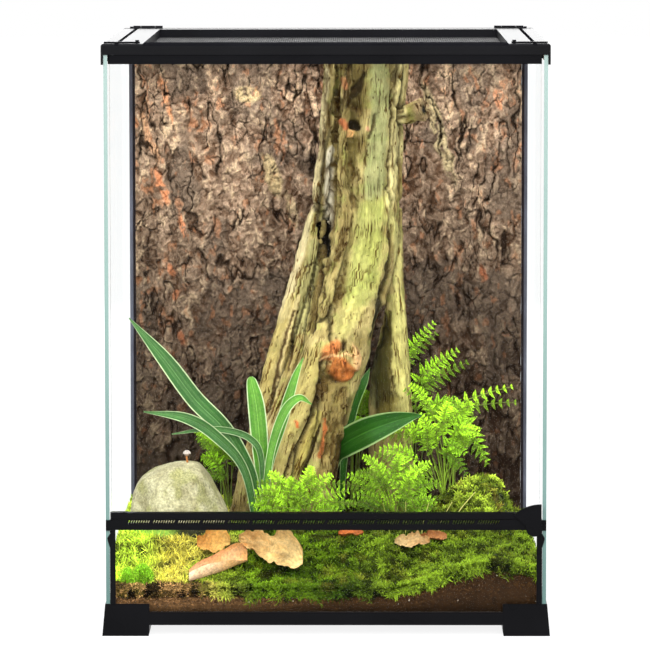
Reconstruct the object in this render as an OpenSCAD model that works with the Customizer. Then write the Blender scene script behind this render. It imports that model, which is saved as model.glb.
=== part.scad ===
// Glass terrarium with a front door, a vent strip and a hinged mesh lid, planted inside.
// Millimetres. X runs left to right, Y from front to back, Z up from the feet.
// The origin is at the middle of the footprint, on the surface that the feet stand on.

/* [Case] */
// Width over the top frame
case_w = 450; // [420:5:800]
// Depth over the top frame
case_d = 450; // [430:5:600]
// Height of the top frame's rim above the feet
case_h = 598; // [540:1:900]
// Thickness of the fixed glass
glass_t = 4; // [3:0.5:6]
// Thickness of the door glass
door_glass_t = 4; // [3:0.5:5]
// Plastic wall outside the glass
trim_wall = 2.5; // [2:0.1:4]
// Glue or seating gap round each pane
glue_gap = 0.2; // [0.1:0.05:0.4]

/* [Base] */
// Height of the corner feet
foot_h = 32.5; // [28:0.5:60]
// Length of each foot along the case
foot_len = 46.4; // [36:0.2:80]
// How far a foot flares out past the frame at the floor
foot_flare = 1.3; // [0.5:0.1:4]
// How far a foot leans in at its top
foot_lean = 1.6; // [0.5:0.1:1.8]
// Height of the bevel on the inner end of a foot
foot_bevel = 4; // [2:0.5:8]
// Underside of the base beams above the floor
base_z = 11; // [6:0.5:14]
// Height of the base beams
base_beam_h = 13; // [12:0.5:20]
// Width of the base beams in plan
base_beam_w = 20; // [14:1:40]

/* [Front] */
// Underside of the vent strip above the floor
strip_z = 108; // [90:1:200]
// Height of the vent strip
strip_h = 10.6; // [10:0.1:16]
// Depth of the vent strip
strip_d = 11; // [10:0.5:16]
// Number of vent slot groups
slot_groups = 15; // [6:1:15]
// Slots in a group
group_slots = 9; // [3:1:9]
// Distance between neighbouring slots
slot_pitch = 2.5; // [2.4:0.1:2.6]
// Width of a slot
slot_w = 1.1; // [0.8:0.1:1.4]
// Height of a slot
slot_h = 3.7; // [2:0.1:4]
// How far a slot leans to the right over its height
slot_lean = 1.6; // [0:0.1:2]
// Distance between slot groups
group_pitch = 25.2; // [24:0.1:26]
// Width of the front edge posts
post_w = 5.5; // [4:0.5:9]

/* [Door] */
// Height of the rail under the door glass
rail_h = 6.4; // [5.5:0.1:12]
// Height of the rail over the door glass
top_rail_h = 8.9; // [7:0.1:9.2]
// Gap above and below the door
door_gap = 0.4; // [0.3:0.1:1]
// Distance of the hinge axis from the inner face of the side pane
hinge_in = 5.3; // [5.2:0.1:7]
// Distance of the hinge axis behind the frame's front
hinge_back = 5; // [4.6:0.1:5.2]
// Radius of the rounded hinge end of the rails
hinge_round = 4.9; // [4.2:0.1:5]
// Length of the hinge block on the bottom rail
block_len = 12.7; // [8:0.1:20]
// Radius of the door's hinge pins
door_pin_r = 1.5; // [1:0.1:2]
// Radial clearance of every running pin
pin_gap = 0.05; // [0.02:0.01:0.1]
// Radius of the latch disc
latch_r = 8.4; // [7:0.1:11]
// Thickness of the latch lever
latch_t = 2.9; // [2.8:0.1:5]
// Thickness of the lug that carries the latch
lug_t = 2.1; // [1.5:0.1:4]
// Radius of the arc along the latch fin
fin_r = 44.5; // [40:0.5:60]
// Height of the raised rib on the latch fin
rib_t = 0.8; // [0.3:0.1:2]

/* [Top frame and lid] */
// Height of the frame's rim
rim_h = 11; // [10:0.5:20]
// Width of the rim seen from above
rim_w = 15; // [14:0.5:22]
// Depth of the skirt below the rim
skirt_h = 10; // [9.8:0.1:20]
// Rounding of the frame's outer edges
edge_r = 3; // [1:0.5:5]
// Ledge that the lid closes on, in plan
ledge_w = 6; // [4:0.5:12]
// Thickness of that ledge
ledge_t = 4; // [2:0.5:8]
// Gap between the lid and the rim
lid_gap = 1; // [0.6:0.1:2]
// Width of the lid's border
lid_border = 26; // [18:1:40]
// Lift of the lid over its ledge
lid_lift = 0.3; // [0.2:0.1:1]
// Flange that carries the mesh, in plan
flange_w = 4; // [2:0.5:10]
// Thickness of the mesh sheet
mesh_t = 1; // [0.6:0.1:2]
// Openings of the mesh along each side
mesh_cells = 16; // [8:1:17]
// Width of a bar of the mesh
mesh_bar = 3.2; // [1:0.1:4]
// Radius of the lid hinge barrels
barrel_r = 2.9; // [2.4:0.1:3]
// Length of a lid hinge
barrel_len = 32; // [24:1:60]
// Distance of a lid hinge from the frame's side
barrel_in = 12; // [10:1:40]
// Radius of the lid hinge pins
lid_pin_r = 1; // [0.8:0.1:1.4]
// Length of a clip beyond its pivot
clip_len = 33.5; // [24:0.5:40]
// Width of a clip
clip_w = 4.4; // [3:0.1:6]
// Thickness of a clip
clip_t = 1.8; // [1.2:0.1:3]
// Distance of a clip pivot from the frame's side
clip_in = 36.5; // [36:0.5:60]
// Radius of the clip's pivot pin
clip_pin_r = 1.2; // [0.8:0.1:1.6]
// Radius of the clip's knob
clip_knob_r = 2; // [1.8:0.1:2.6]
// Height of the clip's knob
clip_knob_h = 1.5; // [1:0.1:4]

/* [Furnishing] */
// Thickness of the bark wall
bark_t = 18; // [14:1:40]
// Height of the planted plateau
plateau_z = 80; // [60:1:100]
// Height of the mound on the right, over the plateau
mound_h = 50; // [10:1:70]
// Thickness of the moss on the plateau
moss_t = 14; // [9:1:30]
// Size of the stone, left to right
stone_w = 106; // [60:1:120]
// Size of the stone, front to back
stone_d = 92; // [60:1:100]
// Height of the stone above the moss
stone_h = 76; // [30:1:90]
// Half the width of the trunk under the lid
trunk_r = 42; // [25:1:45]
// Height of the broad-leaved plant above the moss
plant_h = 227; // [120:1:240]

/* [Hidden] */

// Colours
black = [0.10, 0.10, 0.115];
clear = [0.80, 0.90, 0.88, 0.35];
steel = [0.45, 0.46, 0.48];
bark_brown = [0.36, 0.27, 0.20];
trunk_green = [0.58, 0.58, 0.33];
soil_brown = [0.20, 0.13, 0.08];
moss_green = [0.45, 0.58, 0.14];
fern_green = [0.42, 0.70, 0.12];
leaf_green = [0.28, 0.52, 0.20];
dry_tan = [0.70, 0.50, 0.32];
stone_grey = [0.80, 0.78, 0.64];

// Half sizes and the faces of the glass
half_w = case_w / 2;
half_d = case_d / 2;
pane_out_x = half_w - trim_wall - glue_gap;
pane_in_x = pane_out_x - glass_t;
pane_out_y = half_d - trim_wall - glue_gap;
pane_in_y = pane_out_y - glass_t;
pane_front_y = -half_d + 2;
floor_z = base_z + 9;
floor_top = floor_z + glass_t;
pane_bottom = floor_z - 4;
base_top = base_z + base_beam_h;

// Latch, and the shift that centres the whole part front to back
latch_gap = 0.3;
latch_reach = latch_gap + lug_t + latch_gap + latch_t + rib_t;
mid_y = (latch_reach - foot_flare) / 2;

// Door
strip_top = strip_z + strip_h;
rail_z = strip_top + door_gap;
rail_top = rail_z + rail_h;
rim_z = case_h - rim_h;
top_rail_z = rim_z - door_gap - top_rail_h;
hinge_x = -(pane_in_x - hinge_in);
hinge_y = -half_d + hinge_back;
rail_face = -half_d + 0.6;
rail_back = -half_d + 10;
door_right = pane_in_x - 2.3;
door_half_t = door_glass_t / 2;
pane_seat = 3;
door_pin_in = 5.4;
latch_x = pane_in_x - 8.3;
latch_z = strip_z + 2.5;
latch_pin_r = 2;
lug_front = -half_d - latch_gap - lug_t;
lever_back = lug_front - latch_gap;

// Lid
lid_half_w = half_w - rim_w - lid_gap;
lid_half_d = half_d - rim_w - lid_gap;
lid_z = rim_z + lid_lift;
lid_in_w = lid_half_w - lid_border;
lid_in_d = lid_half_d - lid_border;
mesh_z = lid_z + 1;
barrel_y = lid_half_d + 4;
barrel_x0 = half_w - barrel_in - barrel_len;
knuckle = barrel_len / 4;
barrel_gap = 0.3;
pin_head_r = 2.1;
pin_head_len = 3.4;
clip_x = half_w - clip_in;
clip_y = -half_d + 8;
clip_lift = 0.2;

// Inside of the case
soil_back = pane_in_y - bark_t - 4;
trunk_top = rim_z - 15;
ground_front = -pane_in_y + glue_gap;
ground_side = pane_in_x - glue_gap;

module in_case() translate([0, mid_y, 0]) children();
module along_x(length) rotate([90, 0, 90]) linear_extrude(length) children();
module along_y(length) translate([0, length, 0]) rotate([90, 0, 0]) linear_extrude(length) children();
module both_sides() {
  children();
  mirror([1, 0, 0]) children();
}

// Points of a rectangle from the origin, with rounded corners where asked: the two low ones, the two high ones
function corner_arc(cx, cy, r, from) =
  [for (i = [0:4]) [cx + r * cos(from + i * 22.5), cy + r * sin(from + i * 22.5)]];
function rounded_points(w, h, r_low, r_high) = concat(
  r_low > 0 ? corner_arc(r_low, r_low, r_low, 180) : [[0, 0]],
  r_low > 0 ? corner_arc(w - r_low, r_low, r_low, 270) : [[w, 0]],
  r_high > 0 ? corner_arc(w - r_high, h - r_high, r_high, 0) : [[w, h]],
  r_high > 0 ? corner_arc(r_high, h - r_high, r_high, 90) : [[0, h]]
);

// Base

// Section of a base beam: the outer wall, the channel for a pane and the ledge under the floor
module beam_section() {
  channel_in = trim_wall + glue_gap + glass_t + glue_gap;
  polygon([
    [0, base_z], [base_beam_w, base_z], [base_beam_w, floor_z], [channel_in, floor_z],
    [channel_in, pane_bottom - glue_gap], [trim_wall, pane_bottom - glue_gap],
    [trim_wall, base_top], [0, base_top]
  ]);
}
module beam_x() {
  length = case_w - 2 * foot_len;
  translate([-length / 2, -half_d, 0]) along_x(length) beam_section();
}
module beam_y() {
  length = case_d - 2 * foot_len;
  translate([-half_w, -length / 2, 0]) along_y(length) beam_section();
}
module base_beam_front() color(black) in_case() beam_x();
module base_beam_back() color(black) in_case() mirror([0, 1, 0]) beam_x();
module base_beam_left() color(black) in_case() beam_y();
module base_beam_right() color(black) in_case() mirror([1, 0, 0]) beam_y();

// Side view of a foot, from the plane of the frame inwards
module foot_section() {
  polygon([
    [-foot_flare, 0], [foot_len - 0.8, 0], [foot_len, foot_bevel],
    [foot_len, foot_h], [foot_lean, foot_h]
  ]);
}
module foot(front) {
  reach = foot_len + foot_flare;
  // The side pane's front edge lies nearer the frame's plane than the other panes
  pane_edge = pane_front_y + half_d - glue_gap;
  channel_in = trim_wall + glue_gap + glass_t + glue_gap;
  ledge = foot_len - channel_in;
  translate([-half_w, -half_d, 0]) {
    difference() {
      intersection() {
        translate([0, -foot_flare, 0]) along_y(reach) foot_section();
        translate([-foot_flare, 0, 0]) along_x(reach) foot_section();
      }
      translate([trim_wall, trim_wall, pane_bottom - glue_gap]) cube([foot_len, foot_len, foot_h]);
      if (front) translate([trim_wall, pane_edge, pane_bottom - glue_gap])
        cube([channel_in - trim_wall, foot_len, foot_h]);
    }
    difference() {
      translate([channel_in, channel_in, base_z]) cube([ledge, ledge, floor_z - base_z]);
      translate([0, 0, base_z - 1]) cube([channel_in, channel_in, foot_h]);
    }
  }
}
module foot_front_left() color(black) in_case() foot(true);
module foot_front_right() color(black) in_case() mirror([1, 0, 0]) foot(true);
module foot_back_left() color(black) in_case() mirror([0, 1, 0]) foot(false);
module foot_back_right() color(black) in_case() mirror([1, 0, 0]) mirror([0, 1, 0]) foot(false);

// Glass

module pane(x0, x1, y0, y1, z0, z1) translate([x0, y0, z0]) cube([x1 - x0, y1 - y0, z1 - z0]);
module floor_pane() {
  reach_x = pane_in_x - glue_gap;
  reach_y = pane_in_y - glue_gap;
  color(clear) in_case() pane(-reach_x, reach_x, -reach_y, reach_y, floor_z, floor_top);
}
module back_pane() {
  reach = pane_in_x - glue_gap;
  color(clear) in_case() pane(-reach, reach, pane_in_y, pane_out_y, pane_bottom, rim_z - glue_gap);
}
module left_pane() {
  color(clear) in_case()
    pane(-pane_out_x, -pane_in_x, pane_front_y, pane_out_y, pane_bottom, rim_z - glue_gap);
}
module right_pane() {
  color(clear) in_case()
    pane(pane_in_x, pane_out_x, pane_front_y, pane_out_y, pane_bottom, rim_z - glue_gap);
}
module front_pane() {
  reach = pane_in_x - 2.2;
  color(clear) in_case() pane(-reach, reach, -pane_out_y, -pane_in_y, pane_bottom, strip_z + pane_seat);
}

// Front edge trims and the vent strip

module post() {
  outer = -pane_in_x + glue_gap;
  web = 1.8;
  height = strip_z - glue_gap;
  translate([outer, -pane_out_y, floor_top]) cube([web, glass_t, height - floor_top]);
  translate([outer, -half_d + 0.6, foot_h + glue_gap])
    cube([post_w, half_d - 0.6 - pane_out_y, height - foot_h - glue_gap]);
  translate([outer - 2.5, -half_d + 0.6, strip_z - 18]) along_y(pane_front_y + half_d - 0.8)
    polygon([[2.5, 0], [2.5, 14], [0, 10], [0, 8]]);
}
module post_left() color(black) in_case() post();
module post_right() color(black) in_case() mirror([1, 0, 0]) post();

module slot_profile() {
  polygon([[0, 0], [slot_w, 0], [slot_w + slot_lean, slot_h], [slot_lean, slot_h]]);
}
module vent_strip() {
  reach = pane_in_x - glue_gap;
  tab_reach = pane_out_x - 0.1;
  groove = strip_z + pane_seat + glue_gap;
  slots_x = -case_w / 2 + 24.8;
  slots_z = strip_top - slot_h - 0.8;
  bore = door_pin_r + pin_gap;
  color(black) in_case() difference() {
    union() {
      translate([-reach, -half_d, groove]) along_y(strip_d) difference() {
        square([2 * reach, strip_top - groove]);
        for (g = [0:slot_groups - 1], s = [0:group_slots - 1])
          translate([slots_x + reach + g * group_pitch + s * slot_pitch, slots_z - groove]) slot_profile();
      }
      translate([-reach, -half_d, strip_z]) cube([2 * reach, half_d - pane_out_y - glue_gap, groove - strip_z]);
      translate([-reach, -pane_in_y + glue_gap, strip_z])
        cube([2 * reach, strip_d - half_d + pane_in_y - glue_gap, groove - strip_z]);
      both_sides() translate([reach, -half_d, strip_z - 0.6])
        cube([tab_reach - reach, pane_front_y + half_d - glue_gap, strip_h]);
    }
    translate([hinge_x, hinge_y, strip_top - door_pin_in - 0.3]) cylinder(r = bore, h = 10, $fn = 48);
  }
}
module corner_seal() {
  leg = 6.3;
  translate([-pane_in_x + glue_gap, pane_in_y - glue_gap, floor_top])
    linear_extrude(rim_z - ledge_t - floor_top - glue_gap) polygon([[0, 0], [0, -leg], [leg, 0]]);
}
module corner_seal_left() color([0.22, 0.23, 0.28]) in_case() corner_seal();
module corner_seal_right() color([0.22, 0.23, 0.28]) in_case() mirror([1, 0, 0]) corner_seal();

// Top frame

module frame_block() {
  bottom = rim_z - skirt_h;
  height = rim_h + skirt_h;
  translate([-half_w, -half_d, bottom]) intersection() {
    along_y(case_d) polygon(rounded_points(case_w, height, 0, edge_r));
    along_x(case_w) polygon(rounded_points(case_d, height, 0, edge_r));
    linear_extrude(height) polygon(rounded_points(case_w, case_d, edge_r, edge_r));
  }
}
module barrel(r, x0, length) translate([x0, barrel_y, case_h]) rotate([0, 90, 0]) cylinder(r = r, h = length, $fn = 64);
module top_frame() {
  skirt_in = half_w - trim_wall;
  skirt_in_y = half_d - trim_wall;
  rim_in = half_w - rim_w;
  rim_in_y = half_d - rim_w;
  ledge_out = pane_in_x - glue_gap;
  ledge_in = rim_in - ledge_w;
  ledge_in_y = rim_in_y - ledge_w;
  ledge_front = -rim_in_y - 4.5;
  ledge_back = pane_in_y - glue_gap;
  pocket_r = barrel_r + barrel_gap;
  pocket_x0 = barrel_x0 + knuckle;
  pocket_len = barrel_len - 2 * knuckle;
  pin_bore = lid_pin_r + pin_gap;
  color(black) in_case() difference() {
    union() {
      difference() {
        frame_block();
        translate([-skirt_in, -half_d - 1, 0]) cube([2 * skirt_in, half_d + 1 + skirt_in_y, rim_z]);
        translate([-rim_in, -rim_in_y, 0]) cube([2 * rim_in, 2 * rim_in_y, case_h + 1]);
      }
      difference() {
        translate([-ledge_out, ledge_front, rim_z - ledge_t])
          cube([2 * ledge_out, ledge_back - ledge_front, ledge_t]);
        translate([-ledge_in, -ledge_in_y, 0]) cube([2 * ledge_in, 2 * ledge_in_y, case_h]);
      }
      both_sides() {
        barrel(barrel_r, barrel_x0, knuckle);
        barrel(barrel_r, barrel_x0 + barrel_len - knuckle, knuckle);
      }
    }
    both_sides() {
      barrel(pocket_r, pocket_x0, pocket_len);
      translate([pocket_x0, rim_in_y - 1, case_h - pocket_r])
        cube([pocket_len, barrel_y - rim_in_y + 1, pocket_r + 1]);
      barrel(pin_bore, barrel_x0 - 1, barrel_len + 2);
      barrel(pin_head_r + glue_gap, barrel_x0 + barrel_len, pin_head_len + 0.6);
      translate([clip_x, clip_y, case_h - 6]) cylinder(r = clip_pin_r + pin_gap, h = 10, $fn = 48);
    }
    translate([hinge_x, hinge_y, rim_z - 1])
      cylinder(r = door_pin_r + pin_gap, h = door_pin_in + 1.3, $fn = 48);
  }
}
module lid_hinge_pins() {
  color(steel) in_case() both_sides() {
    barrel(lid_pin_r, barrel_x0, barrel_len + 0.4);
    barrel(pin_head_r, barrel_x0 + barrel_len + 0.3, pin_head_len);
  }
}
module clip_pivots() {
  knob_z = case_h + clip_lift + clip_t + 0.1;
  color(black) in_case() both_sides() {
    translate([clip_x, clip_y, case_h - 5.8]) cylinder(r = clip_pin_r, h = knob_z - case_h + 5.9, $fn = 48);
    translate([clip_x, clip_y, knob_z]) cylinder(r = clip_knob_r, h = clip_knob_h, $fn = 48);
  }
}

// Door

module rail_plan(round_r) {
  difference() {
    union() {
      translate([hinge_x, rail_face]) square([door_right - hinge_x, rail_back - rail_face]);
      translate([hinge_x, hinge_y]) circle(r = round_r, $fn = 96);
    }
    translate([-half_w, -half_d - 2]) square([case_w, rail_face + half_d + 2]);
  }
}
module door_pin_bore(z, h) translate([hinge_x, hinge_y, z]) cylinder(r = door_pin_r + pin_gap, h = h, $fn = 48);
module door_pane() {
  color(clear) in_case()
    pane(hinge_x - 3.3, door_right - 0.5, hinge_y - door_half_t, hinge_y + door_half_t,
      rail_top - pane_seat, top_rail_z + top_rail_h - pane_seat);
}
module door_bottom_rail() {
  groove_z = rail_top - pane_seat - glue_gap;
  groove_half = door_half_t + glue_gap;
  lug_r = latch_r - 0.2;
  color(black) in_case() difference() {
    union() {
      translate([0, 0, rail_z]) linear_extrude(rail_h) rail_plan(hinge_round);
      translate([0, 0, rail_z]) linear_extrude(rail_h + 0.5) intersection() {
        rail_plan(hinge_round);
        translate([hinge_x - 10, -half_d]) square([10 + block_len, 20]);
      }
      translate([latch_x, lug_front, latch_z]) rotate([-90, 0, 0]) cylinder(r = lug_r, h = lug_t, $fn = 96);
      translate([latch_x - lug_r, lug_front, latch_z])
        cube([2 * lug_r - 2, lug_t, rail_top - latch_z]);
      translate([latch_x - lug_r, lug_front, rail_z])
        cube([2 * lug_r - 2, rail_face - lug_front + 0.5, rail_h]);
    }
    translate([hinge_x - 3.5, hinge_y - groove_half, groove_z])
      cube([door_right - hinge_x + 3.2, 2 * groove_half, rail_h + 2]);
    door_pin_bore(rail_z - 1, groove_z - rail_z + 0.8);
    translate([latch_x, lug_front - 1, latch_z]) rotate([-90, 0, 0])
      cylinder(r = latch_pin_r + pin_gap, h = lug_t + 2, $fn = 48);
  }
}
module door_top_rail() {
  seat_top = top_rail_z + top_rail_h - pane_seat + glue_gap;
  groove_half = door_half_t + glue_gap;
  color(black) in_case() difference() {
    translate([0, 0, top_rail_z]) linear_extrude(top_rail_h) rail_plan(hinge_round);
    translate([hinge_x - 3.5, hinge_y - groove_half, top_rail_z - 1])
      cube([door_right - hinge_x + 3.2, 2 * groove_half, seat_top - top_rail_z + 1]);
    door_pin_bore(seat_top - 1, pane_seat + 2);
  }
}
module door_pins() {
  low_z = strip_top - door_pin_in;
  low_top = rail_top - pane_seat - glue_gap - 0.4;
  high_z = top_rail_z + top_rail_h - pane_seat + glue_gap + 0.1;
  color(steel) in_case() {
    translate([hinge_x, hinge_y, low_z]) cylinder(r = door_pin_r, h = low_top - low_z, $fn = 48);
    translate([hinge_x, hinge_y, high_z]) cylinder(r = door_pin_r, h = rim_z + door_pin_in - high_z, $fn = 48);
  }
}

// Latch

module latch_pin() {
  color(steel) in_case() translate([latch_x, lug_front - 2.2, latch_z]) rotate([-90, 0, 0])
    cylinder(r = latch_pin_r, h = 2.1 + lug_t, $fn = 48);
}
// Outline of the lever's fin, seen from the front, with the pivot at the origin
module fin_outline(inset) {
  fin_right = latch_r - 1.2;
  intersection() {
    translate([fin_right + 0.6, -20.2]) circle(r = fin_r - inset, $fn = 180);
    polygon([[-19.8, 12.5], [-14, 30], [fin_right, 30], [fin_right, 0], [-latch_r + 0.6, 2]]);
  }
}
module latch_lever() {
  color(black) in_case() translate([latch_x, lever_back, latch_z]) rotate([90, 0, 0]) difference() {
    union() {
      linear_extrude(latch_t) union() {
        circle(r = latch_r, $fn = 96);
        fin_outline(0);
      }
      linear_extrude(latch_t + rib_t) difference() {
        fin_outline(0.6);
        fin_outline(2.6);
        translate([-30, -2]) square([60, 12]);
      }
    }
    translate([0, 0, -1]) cylinder(r = latch_pin_r + pin_gap, h = 3.2, $fn = 48);
  }
}

// Lid

module lid_frame() {
  arm_low = case_h - barrel_r;
  arm_len = barrel_len - 2 * knuckle - 2 * barrel_gap;
  arm_x = barrel_x0 + knuckle + barrel_gap;
  flange_in_w = lid_in_w - flange_w;
  flange_in_d = lid_in_d - flange_w;
  color(black) in_case() difference() {
    union() {
      translate([-lid_half_w, -lid_half_d, lid_z]) cube([2 * lid_half_w, 2 * lid_half_d, case_h - lid_z]);
      both_sides() {
        barrel(barrel_r, arm_x, arm_len);
        translate([arm_x, lid_half_d - 1, arm_low]) cube([arm_len, barrel_y - lid_half_d + 1, barrel_r]);
      }
    }
    translate([-lid_in_w, -lid_in_d, mesh_z]) cube([2 * lid_in_w, 2 * lid_in_d, case_h]);
    translate([-flange_in_w, -flange_in_d, lid_z - 1]) cube([2 * flange_in_w, 2 * flange_in_d, case_h]);
    both_sides() barrel(lid_pin_r + pin_gap, barrel_x0, barrel_len);
  }
}
module lid_mesh() {
  side_w = 2 * (lid_in_w - glue_gap);
  side_d = 2 * (lid_in_d - glue_gap);
  cell_w = (side_w - mesh_bar) / mesh_cells;
  cell_d = (side_d - mesh_bar) / mesh_cells;
  color(steel) in_case() translate([-side_w / 2, -side_d / 2, mesh_z]) linear_extrude(mesh_t) difference() {
    square([side_w, side_d]);
    for (i = [0:mesh_cells - 1], j = [0:mesh_cells - 1])
      translate([mesh_bar + i * cell_w, mesh_bar + j * cell_d]) square([cell_w - mesh_bar, cell_d - mesh_bar]);
  }
}

// Clips

module clip() {
  boss_r = clip_w / 2 + 0.6;
  tip = clip_len - clip_w / 2;
  translate([clip_x, clip_y, case_h + clip_lift]) difference() {
    linear_extrude(clip_t) union() {
      circle(r = boss_r, $fn = 64);
      translate([0, -clip_w / 2]) square([tip, clip_w]);
      translate([tip, 0]) circle(r = clip_w / 2, $fn = 64);
    }
    translate([0, 0, -1]) cylinder(r = clip_pin_r + pin_gap, h = clip_t + 2, $fn = 48);
  }
}
module clip_left() color(black) in_case() mirror([1, 0, 0]) clip();
module clip_right() color(black) in_case() clip();

// Ground

function smooth(t) = let (c = min(1, max(0, t))) c * c * (3 - 2 * c);
function bump(dx, dy, rx, ry) = let (q = (dx / rx) * (dx / rx) + (dy / ry) * (dy / ry)) q >= 1 ? 0 : (1 - q) * (1 - q);
function front_rise(y) = smooth((y - ground_front) / 110);
function front_edge(x) = plateau_z - 34 + 26 * smooth((x - 60) / 110);
function ground_z(x, y) = front_edge(x) + (plateau_z - front_edge(x)) * front_rise(y)
  + mound_h * bump(x - ground_side + 53, y + 5, 90, 130);
function soil_z(x, y) = ground_z(x, y) - 0.6 * moss_t - 0.4 * moss_t * front_rise(y);

ground_nx = 22;
ground_ny = 20;
function grid_x(i) = -ground_side + 2 * ground_side * i / ground_nx;
function grid_y(j) = ground_front + (soil_back - ground_front) * j / ground_ny;
function grid_id(i, j) = j * (ground_nx + 1) + i;
ground_count = (ground_nx + 1) * (ground_ny + 1);
// The grid's rim, once round, anticlockwise from the front left
rim_ids = concat(
  [for (i = [0:ground_nx - 1]) grid_id(i, 0)],
  [for (j = [0:ground_ny - 1]) grid_id(ground_nx, j)],
  [for (i = [ground_nx:-1:1]) grid_id(i, ground_ny)],
  [for (j = [ground_ny:-1:1]) grid_id(0, j)]
);
rim_count = len(rim_ids);
rim_xy = concat(
  [for (i = [0:ground_nx - 1]) [grid_x(i), grid_y(0)]],
  [for (j = [0:ground_ny - 1]) [grid_x(ground_nx), grid_y(j)]],
  [for (i = [ground_nx:-1:1]) [grid_x(i), grid_y(ground_ny)]],
  [for (j = [ground_ny:-1:1]) [grid_x(0), grid_y(j)]]
);
top_faces = [for (j = [0:ground_ny - 1], i = [0:ground_nx - 1], k = [0, 1])
  k == 0 ? [grid_id(i, j), grid_id(i + 1, j + 1), grid_id(i + 1, j)]
         : [grid_id(i, j), grid_id(i, j + 1), grid_id(i + 1, j + 1)]];

// A block of ground from a flat base up to the soil's top, or to the moss when moss is true
module ground_block(moss) {
  top = [for (j = [0:ground_ny], i = [0:ground_nx])
    [grid_x(i), grid_y(j), moss ? ground_z(grid_x(i), grid_y(j)) : soil_z(grid_x(i), grid_y(j))]];
  base = [for (p = rim_xy) [p[0], p[1], floor_top]];
  middle = [[0, (ground_front + soil_back) / 2, floor_top]];
  walls = [for (k = [0:rim_count - 1], h = [0, 1]) let (n = (k + 1) % rim_count)
    h == 0 ? [rim_ids[k], rim_ids[n], ground_count + k] : [rim_ids[n], ground_count + n, ground_count + k]];
  under = [for (k = [0:rim_count - 1])
    [ground_count + k, ground_count + (k + 1) % rim_count, ground_count + rim_count]];
  polyhedron(concat(top, base, middle), concat(top_faces, walls, under));
}
module soil() color(soil_brown) in_case() ground_block(false);
module moss_bed() {
  top = [for (j = [0:ground_ny], i = [0:ground_nx]) [grid_x(i), grid_y(j), ground_z(grid_x(i), grid_y(j))]];
  low = [for (j = [0:ground_ny], i = [0:ground_nx]) [grid_x(i), grid_y(j), soil_z(grid_x(i), grid_y(j))]];
  under = [for (f = top_faces) [f[0] + ground_count, f[2] + ground_count, f[1] + ground_count]];
  walls = [for (k = [0:rim_count - 1], h = [0, 1]) let (n = (k + 1) % rim_count)
    h == 0 ? [rim_ids[k], rim_ids[n], rim_ids[k] + ground_count]
           : [rim_ids[n], rim_ids[n] + ground_count, rim_ids[k] + ground_count]];
  color(moss_green) in_case() polyhedron(concat(top, low), concat(top_faces, under, walls));
}

// Bark wall: a slab whose front waves in upright ridges
function bark_front(x) = pane_in_y - glue_gap - bark_t + 1.6 * sin(x * 11) + 1.1 * sin(x * 23 + 40);
module bark_wall() {
  reach = pane_in_x - 7;
  steps = 60;
  color(bark_brown) in_case() translate([0, 0, floor_top]) linear_extrude(trunk_top - floor_top)
    polygon(concat(
      [for (i = [0:steps]) let (x = -reach + 2 * reach * i / steps) [x, bark_front(x)]],
      [[reach, pane_in_y - glue_gap], [-reach, pane_in_y - glue_gap]]
    ));
}

// What stands on the ground is cut off flush with it
module rooted(tint) color(tint) in_case() difference() {
  children();
  ground_block(true);
}
// A run of hulls through flat elliptical slices: each is [x, y, z, half width, half depth]
module slices(list, sides) {
  for (i = [0:len(list) - 2]) hull() {
    slice(list[i], sides);
    slice(list[i + 1], sides);
  }
}
module slice(s, sides) translate([s[0], s[1], s[2]]) scale([s[3], s[4], 1]) cylinder(r = 1, h = 0.4, $fn = sides);

// Trunk: each strand goes from the ground, z given as a share of the trunk's height
function strand(list) = [for (p = list)
  [p[0], p[1], plateau_z - 1 + p[2] * (trunk_top - plateau_z), p[3] * trunk_r / 42, p[4] * trunk_r / 42]];
main_strand = strand([
  [-46, 20, 0, 42, 36], [-42, 25, 0.05, 38, 34], [-27, 34, 0.15, 34, 32], [-11, 45, 0.26, 34, 31],
  [14, 60, 0.39, 41, 33], [27, 69, 0.47, 43, 33], [34, 76, 0.55, 42, 33], [36, 82, 0.68, 40, 33],
  [37, 86, 0.82, 41, 33], [42, 90, 1, 44, 34]
]);
left_strand = strand([
  [-98, 60, 0, 15, 14], [-91, 61, 0.05, 13, 12], [-74, 65, 0.18, 12, 11], [-58, 70, 0.33, 11, 10],
  [-28, 75, 0.56, 9, 9], [-2, 80, 0.72, 8, 8]
]);
front_root = strand([
  [-82, -8, 0, 20, 18], [-72, -5, 0.05, 18, 16], [-46, 10, 0.2, 16, 15], [-12, 30, 0.36, 13, 14], [0, 44, 0.44, 9, 12]
]);
strut = strand([
  [72, 105, 0, 25, 22], [70, 105, 0.1, 22, 20], [68, 100, 0.25, 23, 19], [68, 95, 0.47, 15, 16], [60, 90, 0.64, 14, 15]
]);
stub_z = plateau_z + 0.87 * (trunk_top - plateau_z);
module trunk() {
  rooted(trunk_green) {
    slices(main_strand, 18);
    slices(left_strand, 12);
    slices(front_root, 14);
    slices(strut, 14);
    hull() {
      translate([66, 80, stub_z - 4]) sphere(r = 15, $fn = 14);
      translate([96, 68, stub_z + 5]) sphere(r = 12, $fn = 14);
    }
    hull() {
      translate([96, 68, stub_z + 5]) sphere(r = 12, $fn = 14);
      translate([104, 65, stub_z + 8]) sphere(r = 13, $fn = 14);
    }
    translate([11, 30, plateau_z + 0.36 * (trunk_top - plateau_z)]) sphere(r = 17, $fn = 16);
  }
}

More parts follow.
